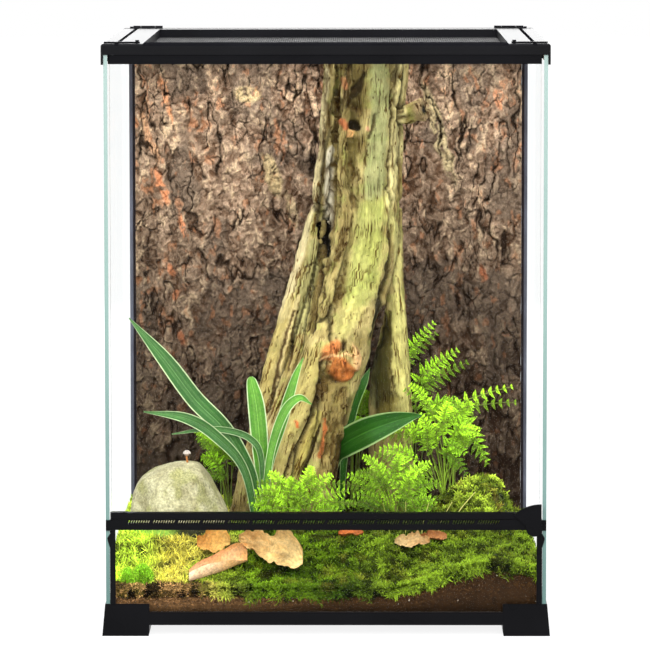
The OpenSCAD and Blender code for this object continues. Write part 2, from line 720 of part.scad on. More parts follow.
// Stone: a dome of slices, each a share of its size
stone_x = -ground_side + stone_w / 2 + 10;
stone_y = ground_front + 108 + stone_d / 2;
stone_slices = [[0, 0.98], [0.3, 1], [0.55, 0.98], [0.7, 0.92], [0.82, 0.82], [0.9, 0.68], [0.96, 0.5], [0.99, 0.34], [1, 0.24]];
module stone() {
  rooted(stone_grey) slices([for (s = stone_slices)
    [stone_x + s[0] * s[0] * 9, stone_y, plateau_z - 1 + s[0] * (stone_h + 0.6), s[1] * stone_w / 2, s[1] * stone_d / 2]], 20);
}
module mushroom() {
  foot_z = plateau_z + stone_h;
  color([0.80, 0.62, 0.38]) in_case() translate([stone_x + 9, stone_y, foot_z]) {
    cylinder(r = 1.2, h = 9, $fn = 24);
    translate([0, 0, 8]) difference() {
      sphere(r = 4.5, $fn = 32);
      translate([-6, -6, -12]) cube([12, 12, 12]);
    }
  }
}
cushion_x = -ground_side + 27;
cushion_y = ground_front + 22;
module moss_cushion() {
  steps = 9;
  rooted([0.40, 0.66, 0.10]) slices([for (i = [0:steps]) let (a = 90 * i / steps)
    [cushion_x, cushion_y, 44 + 26 * sin(a), 3 + 15 * cos(a), 3 + 14 * cos(a)]], 18);
}

// Leaves: straps that face the front, through points [x, y, z, width]
module strap(list, thick) {
  for (i = [0:len(list) - 2]) let (a = list[i], b = list[i + 1]) hull() {
    strap_station(a, b, a, thick);
    strap_station(a, b, b, thick);
  }
}
module strap_station(a, b, at, thick) {
  slope = atan2(b[2] - a[2], b[0] - a[0]);
  translate([at[0], at[1], at[2]]) rotate([0, -slope, 0]) cube([0.8, thick, at[3]], center = true);
}
function lifted(list, x, y, share) = [for (p = list) [x + p[0], y + p[1], plateau_z + p[2] * share, p[3]]];
leaf_x = -72;
leaf_y = -44;
leaf_share = plant_h / 227;
module leaf(list) strap(lifted(list, leaf_x, leaf_y, leaf_share), 1.4);
module broadleaf_left() {
  rooted(leaf_green) {
    leaf([[0, 0, -2, 8], [-6, -1, 50, 12], [-38, -6, 111, 17], [-66, -10, 138, 19], [-97, -14, 182, 16],
      [-134, -17, 227, 2]]);
    leaf([[0, -2, -2, 6], [-16, -14, 66, 9], [-52, -26, 100, 12], [-86, -36, 124, 10], [-119, -44, 132, 2]]);
    leaf([[2, 0, -2, 6], [1, 1, 52, 11], [1, 4, 80, 16], [-1, 9, 120, 15], [-2, 14, 159, 3]]);
    leaf([[4, -1, -2, 6], [10, 0, 64, 8], [26, 6, 120, 11], [37, 12, 158, 8], [46, 16, 180, 2]]);
    leaf([[4, -3, -2, 5], [12, -8, 78, 8], [26, -4, 122, 9], [44, 0, 142, 7], [56, 4, 137, 2]]);
    translate([leaf_x + 2, leaf_y - 1, plateau_z + 3]) sphere(r = 7, $fn = 12);
  }
}
module broadleaf_right() {
  rooted([0.15, 0.40, 0.16]) {
    strap(lifted([[22, -24, -2, 10], [20, -24, 40, 14], [20, -20, 84, 24], [45, -26, 102, 27], [75, -32, 114, 20],
      [99, -36, 120, 2]], 0, 32, 1), 1.4);
    strap(lifted([[26, -20, -2, 8], [32, -18, 60, 10], [36, -14, 120, 12], [40, -10, 150, 10], [38, -10, 166, 2]],
      0, 26, 1), 1.4);
  }
}
// A fern: fronds that rise from one crown and bend out; each frond is [reach x, reach y, height, width]
module fern(x, y, fronds) {
  base = ground_z(x, y);
  for (f = fronds) strap([
    [x, y, base - 2, 3],
    [x + 0.12 * f[0], y + 0.12 * f[1], base + 0.5 * f[2], f[3] * 0.5],
    [x + 0.40 * f[0], y + 0.40 * f[1], base + 0.86 * f[2], f[3]],
    [x + 0.72 * f[0], y + 0.72 * f[1], base + f[2], f[3] * 0.7],
    [x + f[0], y + f[1], base + 0.94 * f[2], 1.5]
  ], 1.2);
}
module fern_back_right() rooted(fern_green)
  fern(ground_side - 118, soil_back - 58, [[16, -10, 198, 22], [44, -36, 172, 24], [60, -8, 120, 24]]);
module fern_right() rooted(fern_green)
  fern(ground_side - 90, 40, [[66, -6, 98, 24], [30, -30, 80, 26], [-20, -34, 60, 24], [44, -50, 56, 22]]);
module fern_middle() rooted(fern_green) fern(70, -30, [[-42, -10, 50, 22], [12, -30, 54, 24], [30, -4, 62, 22]]);
module fern_front() rooted(fern_green)
  fern(-32, -62, [[-44, 4, 62, 22], [8, -16, 66, 26], [40, 0, 60, 22], [-16, -26, 48, 22]]);
module fern_left() rooted(fern_green)
  fern(106 - ground_side, soil_back - 78, [[-30, -20, 78, 18], [-10, -26, 92, 18], [12, -10, 70, 16]]);
module fern_behind() rooted(fern_green)
  fern(20, soil_back - 64, [[14, -8, 138, 20], [-4, -6, 116, 18], [20, 14, 100, 18]]);
module grass_stems() {
  rooted([0.66, 0.70, 0.30]) for (i = [0:4])
    strap([for (t = [0:3]) [66 + 16 * i + (i - 1) * 3 * t, -84 + 9 * sin(i * 90), plateau_z - 2 + 12 * t, 1.4 - 0.2 * t]], 1.2);
}

// Dry leaves lie on the slope: each runs along X from [x, y], with its width across the slope
module dry_leaf(x, y, length, width, curl, lean) {
  steps = 9;
  for (i = [0:steps - 1]) hull() for (k = [i, i + 1]) {
    t = k / steps;
    px = x + t * length;
    py = y + lean * t;
    w = width * (0.35 + 0.65 * sin(180 * (0.1 + 0.8 * t)));
    tilt = atan((ground_z(px, py + 8) - ground_z(px, py - 8)) / 16);
    translate([px, py, ground_z(px, py) + 0.7 + curl * sin(180 * t) * (1 + sin(720 * t + 30))])
      rotate([tilt, 0, 0]) cube([0.6, w, 1.6], center = true);
  }
}
leaf_litter_x = 80 - ground_side;
module dry_leaf_curled() rooted(dry_tan) dry_leaf(leaf_litter_x, ground_front + 34, 62, 22, 2, 16);
module dry_leaf_upper() rooted(dry_tan) dry_leaf(leaf_litter_x + 16, ground_front + 74, 30, 20, 2, 8);
module dry_leaf_crumpled() rooted([0.76, 0.62, 0.44]) dry_leaf(leaf_litter_x + 68, ground_front + 58, 50, 40, 3, -8);
module dry_leaf_small() rooted([0.78, 0.66, 0.46]) dry_leaf(ground_side - 142, ground_front + 68, 36, 20, 2, -6);
module dry_leaf_orange() rooted([0.78, 0.42, 0.20]) dry_leaf(12, ground_front + 118, 26, 18, 2, 6);
module dry_leaf_dark() rooted([0.48, 0.28, 0.15]) dry_leaf(ground_side - 98, ground_front + 68, 28, 20, 2, 8);
module twigs() {
  rooted([0.42, 0.28, 0.17]) for (i = [0:2]) for (k = [0:2]) hull() for (m = [k, k + 1]) {
    px = 48 - ground_side + 22 * i + 11 * m;
    py = ground_front + 9 + 3 * i + 1.5 * m;
    translate([px, py, ground_z(px, py) + 0.6]) sphere(r = 1.3 - 0.15 * m, $fn = 8);
  }
}

base_beam_front();
base_beam_back();
base_beam_left();
base_beam_right();
foot_front_left();
foot_front_right();
foot_back_left();
foot_back_right();
floor_pane();
back_pane();
left_pane();
right_pane();
front_pane();
post_left();
post_right();
vent_strip();
corner_seal_left();
corner_seal_right();
top_frame();
lid_hinge_pins();
clip_pivots();
door_pane();
door_bottom_rail();
door_top_rail();
door_pins();
latch_pin();
latch_lever();
lid_frame();
lid_mesh();
clip_left();
clip_right();
bark_wall();
soil();
moss_bed();
moss_cushion();
stone();
mushroom();
trunk();
broadleaf_left();
broadleaf_right();
fern_back_right();
fern_right();
fern_middle();
fern_front();
fern_left();
fern_behind();
grass_stems();
dry_leaf_curled();
dry_leaf_upper();
dry_leaf_crumpled();
dry_leaf_small();
dry_leaf_orange();
dry_leaf_dark();
twigs();
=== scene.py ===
# The looks of the planted glass terrarium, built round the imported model. Lengths here are in millimetres
# from the middle of the case, with Y towards the back and Z up from the feet, until a mesh is made.
import math

import bpy
import numpy as np
from mathutils import Matrix, Vector


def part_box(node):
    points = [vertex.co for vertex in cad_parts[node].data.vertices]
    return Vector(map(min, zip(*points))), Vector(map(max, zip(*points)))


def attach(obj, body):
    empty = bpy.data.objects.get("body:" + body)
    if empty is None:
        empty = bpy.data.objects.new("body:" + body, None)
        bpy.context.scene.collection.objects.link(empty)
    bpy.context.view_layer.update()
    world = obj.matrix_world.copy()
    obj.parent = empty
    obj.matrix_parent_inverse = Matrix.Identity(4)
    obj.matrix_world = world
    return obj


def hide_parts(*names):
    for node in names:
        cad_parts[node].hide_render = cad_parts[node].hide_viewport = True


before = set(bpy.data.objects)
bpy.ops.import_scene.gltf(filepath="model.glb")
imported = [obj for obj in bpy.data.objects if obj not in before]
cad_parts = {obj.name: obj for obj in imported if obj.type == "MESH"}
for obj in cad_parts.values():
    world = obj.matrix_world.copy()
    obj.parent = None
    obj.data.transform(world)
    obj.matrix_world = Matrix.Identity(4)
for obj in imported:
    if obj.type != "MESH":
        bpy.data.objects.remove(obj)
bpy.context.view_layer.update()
scene = bpy.context.scene
MM = 0.001


def box_mm(node):
    """A CAD node's lowest and highest corners, in millimetres from the middle of the case."""
    low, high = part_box(node)
    return np.array(low) / MM - shift, np.array(high) / MM - shift


beam_low, beam_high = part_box("base_beam_left")
shift = np.array([0, (beam_low.y + beam_high.y) / 2 / MM, 0])
glass_in = box_mm("right_pane")[0][0]
bed_low, bed_high = box_mm("moss_bed")
ground_front, ground_back, ground_side = bed_low[1], bed_high[1], bed_high[0]
soil_low = box_mm("soil")[0][2]
# How far from the middle the furnishing may reach, a little short of the glass
furnished = glass_in - 0.6


# Numbers

PRIMES = np.array([374761393, 668265263, 1274126177])


def scramble(cells, seed):
    """A whole number for each cell of a grid, which looks drawn by chance."""
    mixed = cells @ PRIMES[:cells.shape[1]] + seed * 974634777
    mixed = (mixed ^ (mixed >> 13)) * 1103515245
    return mixed ^ (mixed >> 16)


def noise(points, seed):
    """Smooth noise from 0 to 1 at each point, one lump to a unit."""
    low = np.floor(points).astype(np.int64)
    part = points - low
    part = part * part * (3 - 2 * part)
    total = np.zeros(len(points))
    for corner in range(8):
        offset = np.array([corner & 1, corner >> 1 & 1, corner >> 2 & 1])
        weight = np.prod(np.where(offset == 1, part, 1 - part), axis=1)
        total += weight * (scramble(low + offset, seed) & 0xFFFF) / 0xFFFF
    return total


def rough(points, octaves, seed):
    """Noise with finer noise on it, from 0 to 1."""
    total, size, share = np.zeros(len(points)), 0.0, 1.0
    for k in range(octaves):
        total += share * noise(points * 2**k, seed + 17 * k)
        size += share
        share *= 0.5
    return total / size


def plates(points, seed):
    """Cells on a plane, each a plate that leans its own way: at each point the distance to the nearest edge, the
    cell's own number, and how high its plate lies there."""
    low = np.floor(points).astype(np.int64)
    near = np.full(len(points), 9.0)
    second = np.full(len(points), 9.0)
    own = np.zeros(len(points))
    away = np.zeros(points.shape)
    for dx in (-1, 0, 1):
        for dy in (-1, 0, 1):
            cell = low + np.array([dx, dy])
            mixed = scramble(cell, seed)
            centre = np.stack([mixed & 0xFF, mixed >> 8 & 0xFF], 1) / 255 * 0.9 + 0.05 + cell
            far = np.hypot(*(points - centre).T)
            closer = far < near
            second = np.where(closer, near, np.minimum(second, far))
            own = np.where(closer, (mixed >> 16 & 0xFF) / 255, own)
            away = np.where(closer[:, None], points - centre, away)
            near = np.minimum(near, far)
    return second - near, own, np.cos(19 * own) * away[:, 0] + np.sin(19 * own) * away[:, 1]


def step(value, low, high):
    """0 below low, 1 above high, and smooth between."""
    t = np.clip((value - low) / (high - low), 0, 1)
    return t * t * (3 - 2 * t)


def spline(points, count):
    """A smooth line of count points through a few, with anything they carry, such as a width."""
    p = np.array(points, float)
    ends = np.vstack([2 * p[0] - p[1], p, 2 * p[-1] - p[-2]])
    t = np.linspace(0, len(p) - 1.000001, count)
    k = t.astype(int)
    u = (t - k)[:, None]
    a, b, c, d = (ends[k + j] for j in range(4))
    return 0.5 * (2 * b + (c - a) * u + (2 * a - 5 * b + 4 * c - d) * u**2 + (3 * b - a - 3 * c + d) * u**3)


def xyz(x, y, z=0.0):
    """Points from their coordinates, each an array or one number for all."""
    return np.stack(np.broadcast_arrays(x, y, z), -1)


def flat_grid(x_start, x_end, across, y_start, y_end, up):
    """The two coordinates of a flat grid of points, row by row."""
    x, y = np.meshgrid(np.linspace(x_start, x_end, across), np.linspace(y_start, y_end, up))
    return x.ravel(), y.ravel()


def unit(v):
    """Directions made one unit long."""
    return v / np.maximum(np.linalg.norm(v, axis=-1, keepdims=True), 1e-9)


def paint(r, g, b):
    """A colour as it looks, 0 to 255, turned into the linear numbers that shaders take."""
    c = np.array([r, g, b]) / 255
    return np.where(c <= 0.04045, c / 12.92, ((c + 0.055) / 1.055) ** 2.4)


def blend(a, b, share):
    """Colours a and b mixed by share, which may differ from point to point."""
    share = np.asarray(share)[..., None]
    return np.asarray(a) * (1 - share) + np.asarray(b) * share


def near_line(x, z, line):
    """How far each point is from a line of (x, z, half width), in half widths."""
    line = np.array(line, float)
    near = np.full(len(x), 1e9)
    for (ax, az, aw), (bx, bz, bw) in zip(line[:-1], line[1:]):
        t = ((x - ax) * (bx - ax) + (z - az) * (bz - az)) / ((bx - ax) ** 2 + (bz - az) ** 2)
        t = np.clip(t, 0, 1)
        far = np.hypot(x - ax - t * (bx - ax), z - az - t * (bz - az))
        near = np.minimum(near, far / (aw + t * (bw - aw)))
    return near


# Meshes

class Pile:
    """Gathers the points, faces and colours of many shapes for one mesh."""

    def __init__(self):
        self.points, self.tints, self.quads, self.tris = [], [], [], []
        self.count = 0

    def add(self, points, tints, quads=(), tris=()):
        points = np.asarray(points, float).reshape(-1, 3)
        self.points.append(points)
        self.tints.append(np.broadcast_to(tints, points.shape))
        for store, faces in ((self.quads, quads), (self.tris, tris)):
            if len(faces):
                store.append(np.asarray(faces) + self.count)
        self.count += len(points)

    def copies(self, points, tints, tris):
        """points is (copies, corners, 3): the same few triangles for each copy."""
        many, corners = points.shape[:2]
        faces = np.asarray(tris)[None] + corners * np.arange(many)[:, None, None]
        self.add(points, np.broadcast_to(tints, points.shape).reshape(-1, 3), tris=faces.reshape(-1, 3))

    def mesh(self, name, inside=True):
        """The pile as a mesh, kept inside the glass unless told otherwise."""
        points = np.concatenate(self.points)
        if inside:
            points[:, 0] = np.clip(points[:, 0], -furnished, furnished)
            points[:, 1] = np.clip(points[:, 1], ground_front + 0.1, furnished)
        quads = np.concatenate(self.quads) if self.quads else np.zeros((0, 4), int)
        tris = np.concatenate(self.tris) if self.tris else np.zeros((0, 3), int)
        made = bpy.data.meshes.new(name)
        made.vertices.add(len(points))
        made.vertices.foreach_set("co", ((points + shift) * MM).ravel())
        corners = np.concatenate([quads.ravel(), tris.ravel()])
        starts = np.concatenate([4 * np.arange(len(quads)), 4 * len(quads) + 3 * np.arange(len(tris))])
        made.loops.add(len(corners))
        made.loops.foreach_set("vertex_index", corners.astype(np.int32))
        made.polygons.add(len(starts))
        made.polygons.foreach_set("loop_start", starts.astype(np.int32))
        tints = np.concatenate(self.tints)
        colour = made.color_attributes.new("tint", "FLOAT_COLOR", "POINT")
        colour.data.foreach_set("color", np.hstack([tints, np.ones((len(tints), 1))]).ravel())
        made.update(calc_edges=True)
        made.validate()
        made.shade_smooth()
        return made


def piece(name, shape, material, nodes, body="case"):
    """A piece of the scene, from a pile or a mesh, that stands for some CAD nodes: it hides them, takes a
    material and hangs on a body.
    """
    mesh = shape.mesh(name) if isinstance(shape, Pile) else shape
    made = bpy.data.objects.new(name, mesh)
    scene.collection.objects.link(made)
    mesh.materials.append(material)
    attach(made, body)
    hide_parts(*nodes)


def grid_quads(across, up, closed=False):
    """Faces of a grid of points, row by row; a closed one joins the last column to the first."""
    i = np.arange(across if closed else across - 1)
    j = np.arange(up - 1)[:, None]
    a, b = j * across + i, j * across + (i + 1) % across
    return np.stack([a, b, b + across, a + across], -1).reshape(-1, 4)


def slab(pile, front, back, across, up, tints, back_tint=None):
    """A closed sheet between two grids of points: the front's colours serve both, or the back has its own."""
    size = across * up
    quads = grid_quads(across, up)
    rim = np.concatenate([
        np.arange(across), across * np.arange(1, up) + across - 1,
        (up - 1) * across + np.arange(across - 2, -1, -1), across * np.arange(up - 2, 0, -1)])
    after = np.roll(rim, -1)
    sides = np.stack([after, rim, rim + size, after + size], 1)
    tints = np.broadcast_to(tints, front.reshape(-1, 3).shape)
    behind = tints if back_tint is None else np.broadcast_to(back_tint, tints.shape)
    pile.add(np.vstack([front.reshape(-1, 3), back.reshape(-1, 3)]), np.vstack([tints, behind]),
             quads=np.vstack([quads, quads[:, ::-1] + size, sides]))


def add_rings(pile, points, tints, around, rings):
    """A closed skin over rings of points, whose last two points are the tips before the first ring and after
    the last."""
    i = np.arange(around)
    after = (i + 1) % around
    last = (rings - 1) * around
    caps = np.vstack([xyz(after, i, rings * around), xyz(last + i, last + after, rings * around + 1)])
    pile.add(points, tints, quads=grid_quads(around, rings, closed=True), tris=caps)


def tube(pile, line, radii, sides, tints, squash=1.0):
    """A closed tube along a line, with a radius at each of its points."""
    line = np.asarray(line, float)
    count = len(line)
    radii = np.broadcast_to(radii, count)[:, None, None]
    along = unit(np.gradient(line, axis=0))
    first = unit(np.cross(along, [0.3, 1, 0.1]))
    second = np.cross(along, first)
    turn = 2 * math.pi * np.arange(sides)[None, :, None] / sides
    ring = line[:, None] + radii * (np.cos(turn) * first[:, None] + squash * np.sin(turn) * second[:, None])
    tints = np.broadcast_to(tints, (count, 3))
    points = np.vstack([ring.reshape(-1, 3), line[:1], line[-1:]])
    colours = np.vstack([np.repeat(tints, sides, 0), tints[:1], tints[-1:]])
    add_rings(pile, points, colours, sides, count)


def ball(pile, centre, radii, around, up, shape):
    """A closed ball; shape gives each direction its share of the radii, or its distance, and its colour."""
    angle = np.linspace(0, 2 * math.pi, around, endpoint=False)
    height = np.linspace(-math.pi / 2, math.pi / 2, up)[1:-1]
    rows = [xyz(np.cos(h) * np.cos(angle), np.cos(h) * np.sin(angle), np.sin(h)) for h in height]
    ways = np.vstack(rows + [[[0, 0, -1.0]], [[0, 0, 1.0]]])
    share, tints = shape(ways)
    points = np.array(centre) + ways * np.asarray(share).reshape(-1, 1) * radii
    add_rings(pile, points, tints, around, len(rows))


# Shaders

def material(name, roughness, specular):
    """A new material, its node tree and its shader."""
    made = bpy.data.materials.new(name)
    made.use_nodes = True
    shader = made.node_tree.nodes["Principled BSDF"]
    shader.inputs["Roughness"].default_value = roughness
    shader.inputs["Specular IOR Level"].default_value = specular
    return made, made.node_tree, shader


def feed(tree, socket, value):
    """Gives a socket a number, a colour or another node's output."""
    if isinstance(value, bpy.types.NodeSocket):
        tree.links.new(value, socket)
    elif np.ndim(value):
        socket.default_value = (*value, 1)
    else:
        socket.default_value = value


def result(tree, kind, inputs):
    """Adds a shader node, feeds its inputs by name or number, and gives its first output."""
    made = tree.nodes.new("ShaderNode" + kind)
    for name, value in inputs.items():
        feed(tree, made.inputs[name], value)
    return made.outputs[0]


def surface(tree, value):
    """Makes a shader's output what the material shows."""
    feed(tree, tree.nodes["Material Output"].inputs["Surface"], value)


def attribute(tree, name, output):
    """What a mesh says at each point under that name."""
    made = tree.nodes.new("ShaderNodeAttribute")
    made.attribute_name = name
    return made.outputs[output]


def texture(tree, size, detail, stretch=(1, 1, 1), kind="TexNoise", along=None):
    """Noise with lumps of that size in millimetres, stretched along the axes, or along a mesh's own attribute."""
    mapping = tree.nodes.new("ShaderNodeMapping")
    mapping.inputs["Scale"].default_value = [1 / (size * MM * s) for s in stretch]
    if along:
        feed(tree, mapping.inputs["Vector"], attribute(tree, along, "Vector"))
    else:
        feed(tree, mapping.inputs["Vector"], tree.nodes.new("ShaderNodeTexCoord").outputs["Object"])
    return result(tree, kind, {"Scale": 1, "Detail": detail, "Vector": mapping.outputs["Vector"]})


def ramp(tree, value, stops):
    """Colours along a value: stops are (place, colour)."""
    made = tree.nodes.new("ShaderNodeValToRGB")
    edges = made.color_ramp.elements
    while len(edges) < len(stops):
        edges.new(0.5)
    for edge, (place, colour) in zip(edges, stops):
        edge.position = place
        edge.color = (*colour, 1)
    feed(tree, made.inputs["Fac"], value)
    return made.outputs["Color"]


def mix(tree, share, a, b, mode="MIX"):
    """Two colours mixed by share."""
    made = tree.nodes.new("ShaderNodeMix")
    made.data_type = "RGBA"
    made.blend_type = mode
    feed(tree, made.inputs["Factor"], share)
    feed(tree, made.inputs[6], a)
    feed(tree, made.inputs[7], b)
    return made.outputs[2]


def maths(tree, operation, a, b=0.0):
    """One step of arithmetic on numbers or other nodes' outputs."""
    made = tree.nodes.new("ShaderNodeMath")
    made.operation = operation
    feed(tree, made.inputs[0], a)
    feed(tree, made.inputs[1], b)
    return made.outputs[0]


def scaled(tree, colour, share):
    """A colour made brighter or darker by share."""
    made = tree.nodes.new("ShaderNodeVectorMath")
    made.operation = "SCALE"
    feed(tree, made.inputs[0], colour)
    feed(tree, made.inputs["Scale"], share)
    return made.outputs[0]


def span(tree, value, low, high, start, end):
    """A value from low to high turned into one from start to end."""
    return result(tree, "MapRange", {
        "Value": value, "From Min": low, "From Max": high, "To Min": start, "To Max": end})


def bump(tree, shader, height, strength, depth):
    """Fine relief from a node's output, as deep as depth in millimetres."""
    normal = result(tree, "Bump", {"Strength": strength, "Distance": depth * MM, "Height": height})
    feed(tree, shader.inputs["Normal"], normal)


def own_axes(tree, what):
    """X, Y and Z of a point ("Object") or of the way it faces ("Normal"), in the object's own axes, which are the
    case's own ones while nothing is opened."""
    made = tree.nodes.new("ShaderNodeSeparateXYZ")
    feed(tree, made.inputs[0], tree.nodes.new("ShaderNodeTexCoord").outputs[what])
    return made.outputs


def grey(level):
    """A grey as shaders take it, or a number as a colour."""
    return np.full(3, level)


# The moulded plastic's brightness and roughness
BLACK = 0.003
SATIN = 0.3


def black_plastic(name, sides=None):
    """Moulded satin black: fine grain, a little uneven gloss. sides is (inner, outer, back) in millimetres from
    the middle of the case: the faces that look up shine at the sides and up to the back, and are matt elsewhere
    and where the lid's outer edge lies."""
    made, tree, shader = material(name, SATIN, 0.06)
    cloudy = texture(tree, 60, 2)
    colour = ramp(tree, cloudy, [(0.3, grey(BLACK) * [0.9, 0.9, 1.1]), (0.7, grey(BLACK) * [1.3, 1.3, 1.6])])
    feed(tree, shader.inputs["Base Color"], colour)
    gloss = ramp(tree, cloudy, [(0.3, grey(SATIN - 0.04)), (0.7, grey(SATIN + 0.05))])
    feed(tree, shader.inputs["Roughness"], gloss)
    bump(tree, shader, texture(tree, 1.2, 3), 0.15, 0.06)
    if sides:
        place = own_axes(tree, "Object")
        inner, outer, back = sides
        reach = maths(tree, "ABSOLUTE", place["X"])
        off_lip = maths(tree, "ABSOLUTE", maths(tree, "SUBTRACT", reach, outer * MM))
        front = maths(tree, "LESS_THAN", place["Y"], 0.0)
        front = maths(tree, "MULTIPLY", front, maths(tree, "LESS_THAN", reach, inner * MM))
        matt = maths(tree, "MAXIMUM", front, maths(tree, "LESS_THAN", off_lip, 2 * MM))
        behind = maths(tree, "GREATER_THAN", place["Y"], (back + shift[1] - 1) * MM)
        matt = maths(tree, "MAXIMUM", matt, behind)
        matt = maths(tree, "MULTIPLY", matt, maths(tree, "GREATER_THAN", own_axes(tree, "Normal")["Z"], 0.5))
        feed(tree, shader.inputs["Specular IOR Level"], span(tree, matt, 0, 1, 0.12, 0.0))
        feed(tree, shader.inputs["Roughness"], span(tree, matt, 0, 1, SATIN, 0.75))
    return made


# The height over which the colours of the panes' cut edges run
EDGE_SPAN = 600


def pane_glass(name, axis, edges):
    """Clear glass whose cut edges are coloured at the front of the case; axis is the pane's thin direction, and
    edges are (share of EDGE_SPAN above the floor, colour)."""
    made, tree, shader = material(name, 0.08, 0.5)
    place = own_axes(tree, "Object")
    edge = maths(tree, "LESS_THAN", maths(tree, "ABSOLUTE", own_axes(tree, "Normal")[axis]), 0.5)
    edge = maths(tree, "MULTIPLY", edge, maths(tree, "LESS_THAN", place["Y"], 0.0))
    level = maths(tree, "MULTIPLY", place["Z"], 1 / (EDGE_SPAN * MM))
    streak = texture(tree, 12, 3, (1, 1, 6))
    level = maths(tree, "ADD", level, maths(tree, "MULTIPLY", streak, 0.12))
    feed(tree, shader.inputs["Base Color"], ramp(tree, level, [(at, paint(*colour)) for at, colour in edges]))
    clear = result(tree, "BsdfTransparent", {"Color": (0.992, 0.996, 0.995)})
    shine = result(tree, "BsdfGlossy", {"Roughness": 0.02})
    slant = maths(tree, "SUBTRACT", result(tree, "Fresnel", {"IOR": 1.45}), 0.03)
    share = maths(tree, "MINIMUM", maths(tree, "MULTIPLY", slant, 0.3), 0.05)
    pane = result(tree, "MixShader", {0: share, 1: clear, 2: shine})
    surface(tree, result(tree, "MixShader", {0: edge, 1: pane, 2: shader.outputs[0]}))
    return made


def seal_rubber():
    """The grey bead in the back corners, with a painted shadow where it meets the bark and a paler painted
    reflection on its outer part.
    """
    made, tree, shader = material("corner seal", 0.35, 0.3)
    low, high = box_mm("corner_seal_right")
    lip = (0.55 * low[0] + 0.45 * high[0]) * MM
    outer = maths(tree, "GREATER_THAN", maths(tree, "ABSOLUTE", own_axes(tree, "Object")["X"]), lip)
    # Painted light: the inner part is dark as a painted shadow by the bark, the outer part pale as a painted
    # reflection
    colour = mix(tree, outer, paint(52, 46, 50), paint(112, 115, 128))
    cloudy = span(tree, texture(tree, 40, 3), 0.3, 0.7, 0.85, 1.15)
    feed(tree, shader.inputs["Base Color"], scaled(tree, colour, cloudy))
    return made


def steel():
    """Bright steel with fine scratches, for the pins."""
    made, tree, shader = material("pin steel", 0.35, 0.5)
    shader.inputs["Metallic"].default_value = 1
    scratches = texture(tree, 2, 4, (6, 1, 1))
    feed(tree, shader.inputs["Base Color"], ramp(tree, scratches, [(0.3, grey(0.32)), (0.7, grey(0.5))]))
    return made


def painted(name, roughness, specular, fine, depth, spread=0.35, stretch=(1, 1, 1)):
    """Colour from the mesh's own tints, broken up by two noises, with a bump of the finer one."""
    made, tree, shader = material(name, roughness, specular)
    small = texture(tree, fine, 5, stretch)
    large = texture(tree, fine * 7, 3, stretch)
    colour = attribute(tree, "tint", "Color")
    colour = scaled(tree, colour, span(tree, small, 0.28, 0.72, 1 - 1.4 * spread, 1 + 1.4 * spread))
    feed(tree, shader.inputs["Base Color"], scaled(tree, colour, span(tree, large, 0.3, 0.7, 0.86, 1.14)))
    bump(tree, shader, small, 0.6, depth)
    return made


# Camera, light and floor

CAMERA_MM = (31.5, -4814.5, 775.4)
# How the camera is turned, in degrees, and its lens in millimetres
CAMERA_DOWN = 5.717
CAMERA_LEFT = 0.4034
CAMERA_ROLL = -0.048
LENS = 254.4


def make_camera():
    """The camera that the photograph was fitted with."""
    made = bpy.data.objects.new("camera", bpy.data.cameras.new("camera"))
    made.data.lens = LENS
    made.data.clip_end = 60
    turn = Matrix.Rotation(math.radians(CAMERA_LEFT), 4, "Z")
    turn = turn @ Matrix.Rotation(math.radians(90 - CAMERA_DOWN), 4, "X")
    turn = turn @ Matrix.Rotation(math.radians(CAMERA_ROLL), 4, "Z")
    made.matrix_world = Matrix.Translation(Vector((np.array(CAMERA_MM) + shift) * MM)) @ turn
    scene.collection.objects.link(made)
    scene.camera = made


def seen_ray(tree):
    """1 for what the camera sees directly, mirrored or through glass."""
    rays = tree.nodes.new("ShaderNodeLightPath")
    seen = maths(tree, "MAXIMUM", rays.outputs["Is Camera Ray"], rays.outputs["Is Glossy Ray"])
    return maths(tree, "MAXIMUM", seen, rays.outputs["Is Transmission Ray"])


def make_world(ambient):
    """White all round: full for what the camera sees, and ambient for what lights the case."""
    world = bpy.data.worlds.new("studio")
    world.use_nodes = True
    tree = world.node_tree
    light = tree.nodes["Background"]
    feed(tree, light.inputs["Color"], (1, 1, 1))
    strength = maths(tree, "MULTIPLY", seen_ray(tree), 1 - ambient)
    feed(tree, light.inputs["Strength"], maths(tree, "ADD", strength, ambient))
    scene.world = world


def make_lamp(name, place, target, size, watts, seen=False):
    """A flat lamp, in metres; shiny pieces mirror it if it is seen."""
    made = bpy.data.objects.new(name, bpy.data.lights.new(name, "AREA"))
    made.data.shape = "RECTANGLE"
    made.data.size, made.data.size_y = size
    made.data.energy = watts
    aim = (Vector(target) - Vector(place)).to_track_quat("-Z", "Y")
    made.matrix_world = Matrix.Translation(place) @ aim.to_matrix().to_4x4()
    made.visible_camera = False
    made.visible_glossy = seen
    scene.collection.objects.link(made)


def make_floor():
    """Pale floor: what the camera sees glows almost to white and keeps a soft shadow."""
    pile = Pile()
    reach, depth = 9000, 16000
    pile.add([(-reach, -reach, 0), (reach, -reach, 0), (reach, depth, 0), (-reach, depth, 0)],
             grey(0.8), quads=[[0, 1, 2, 3]])
    made = bpy.data.objects.new("floor", pile.mesh("floor", inside=False))
    scene.collection.objects.link(made)
    paper, tree, shader = material("floor paper", 0.9, 0.0)
    feed(tree, shader.inputs["Base Color"], grey(0.25))
    glow = result(tree, "Emission", {"Strength": maths(tree, "MULTIPLY", seen_ray(tree), 0.86)})
    surface(tree, result(tree, "AddShader", {0: shader.outputs[0], 1: glow}))
    made.data.materials.append(paper)


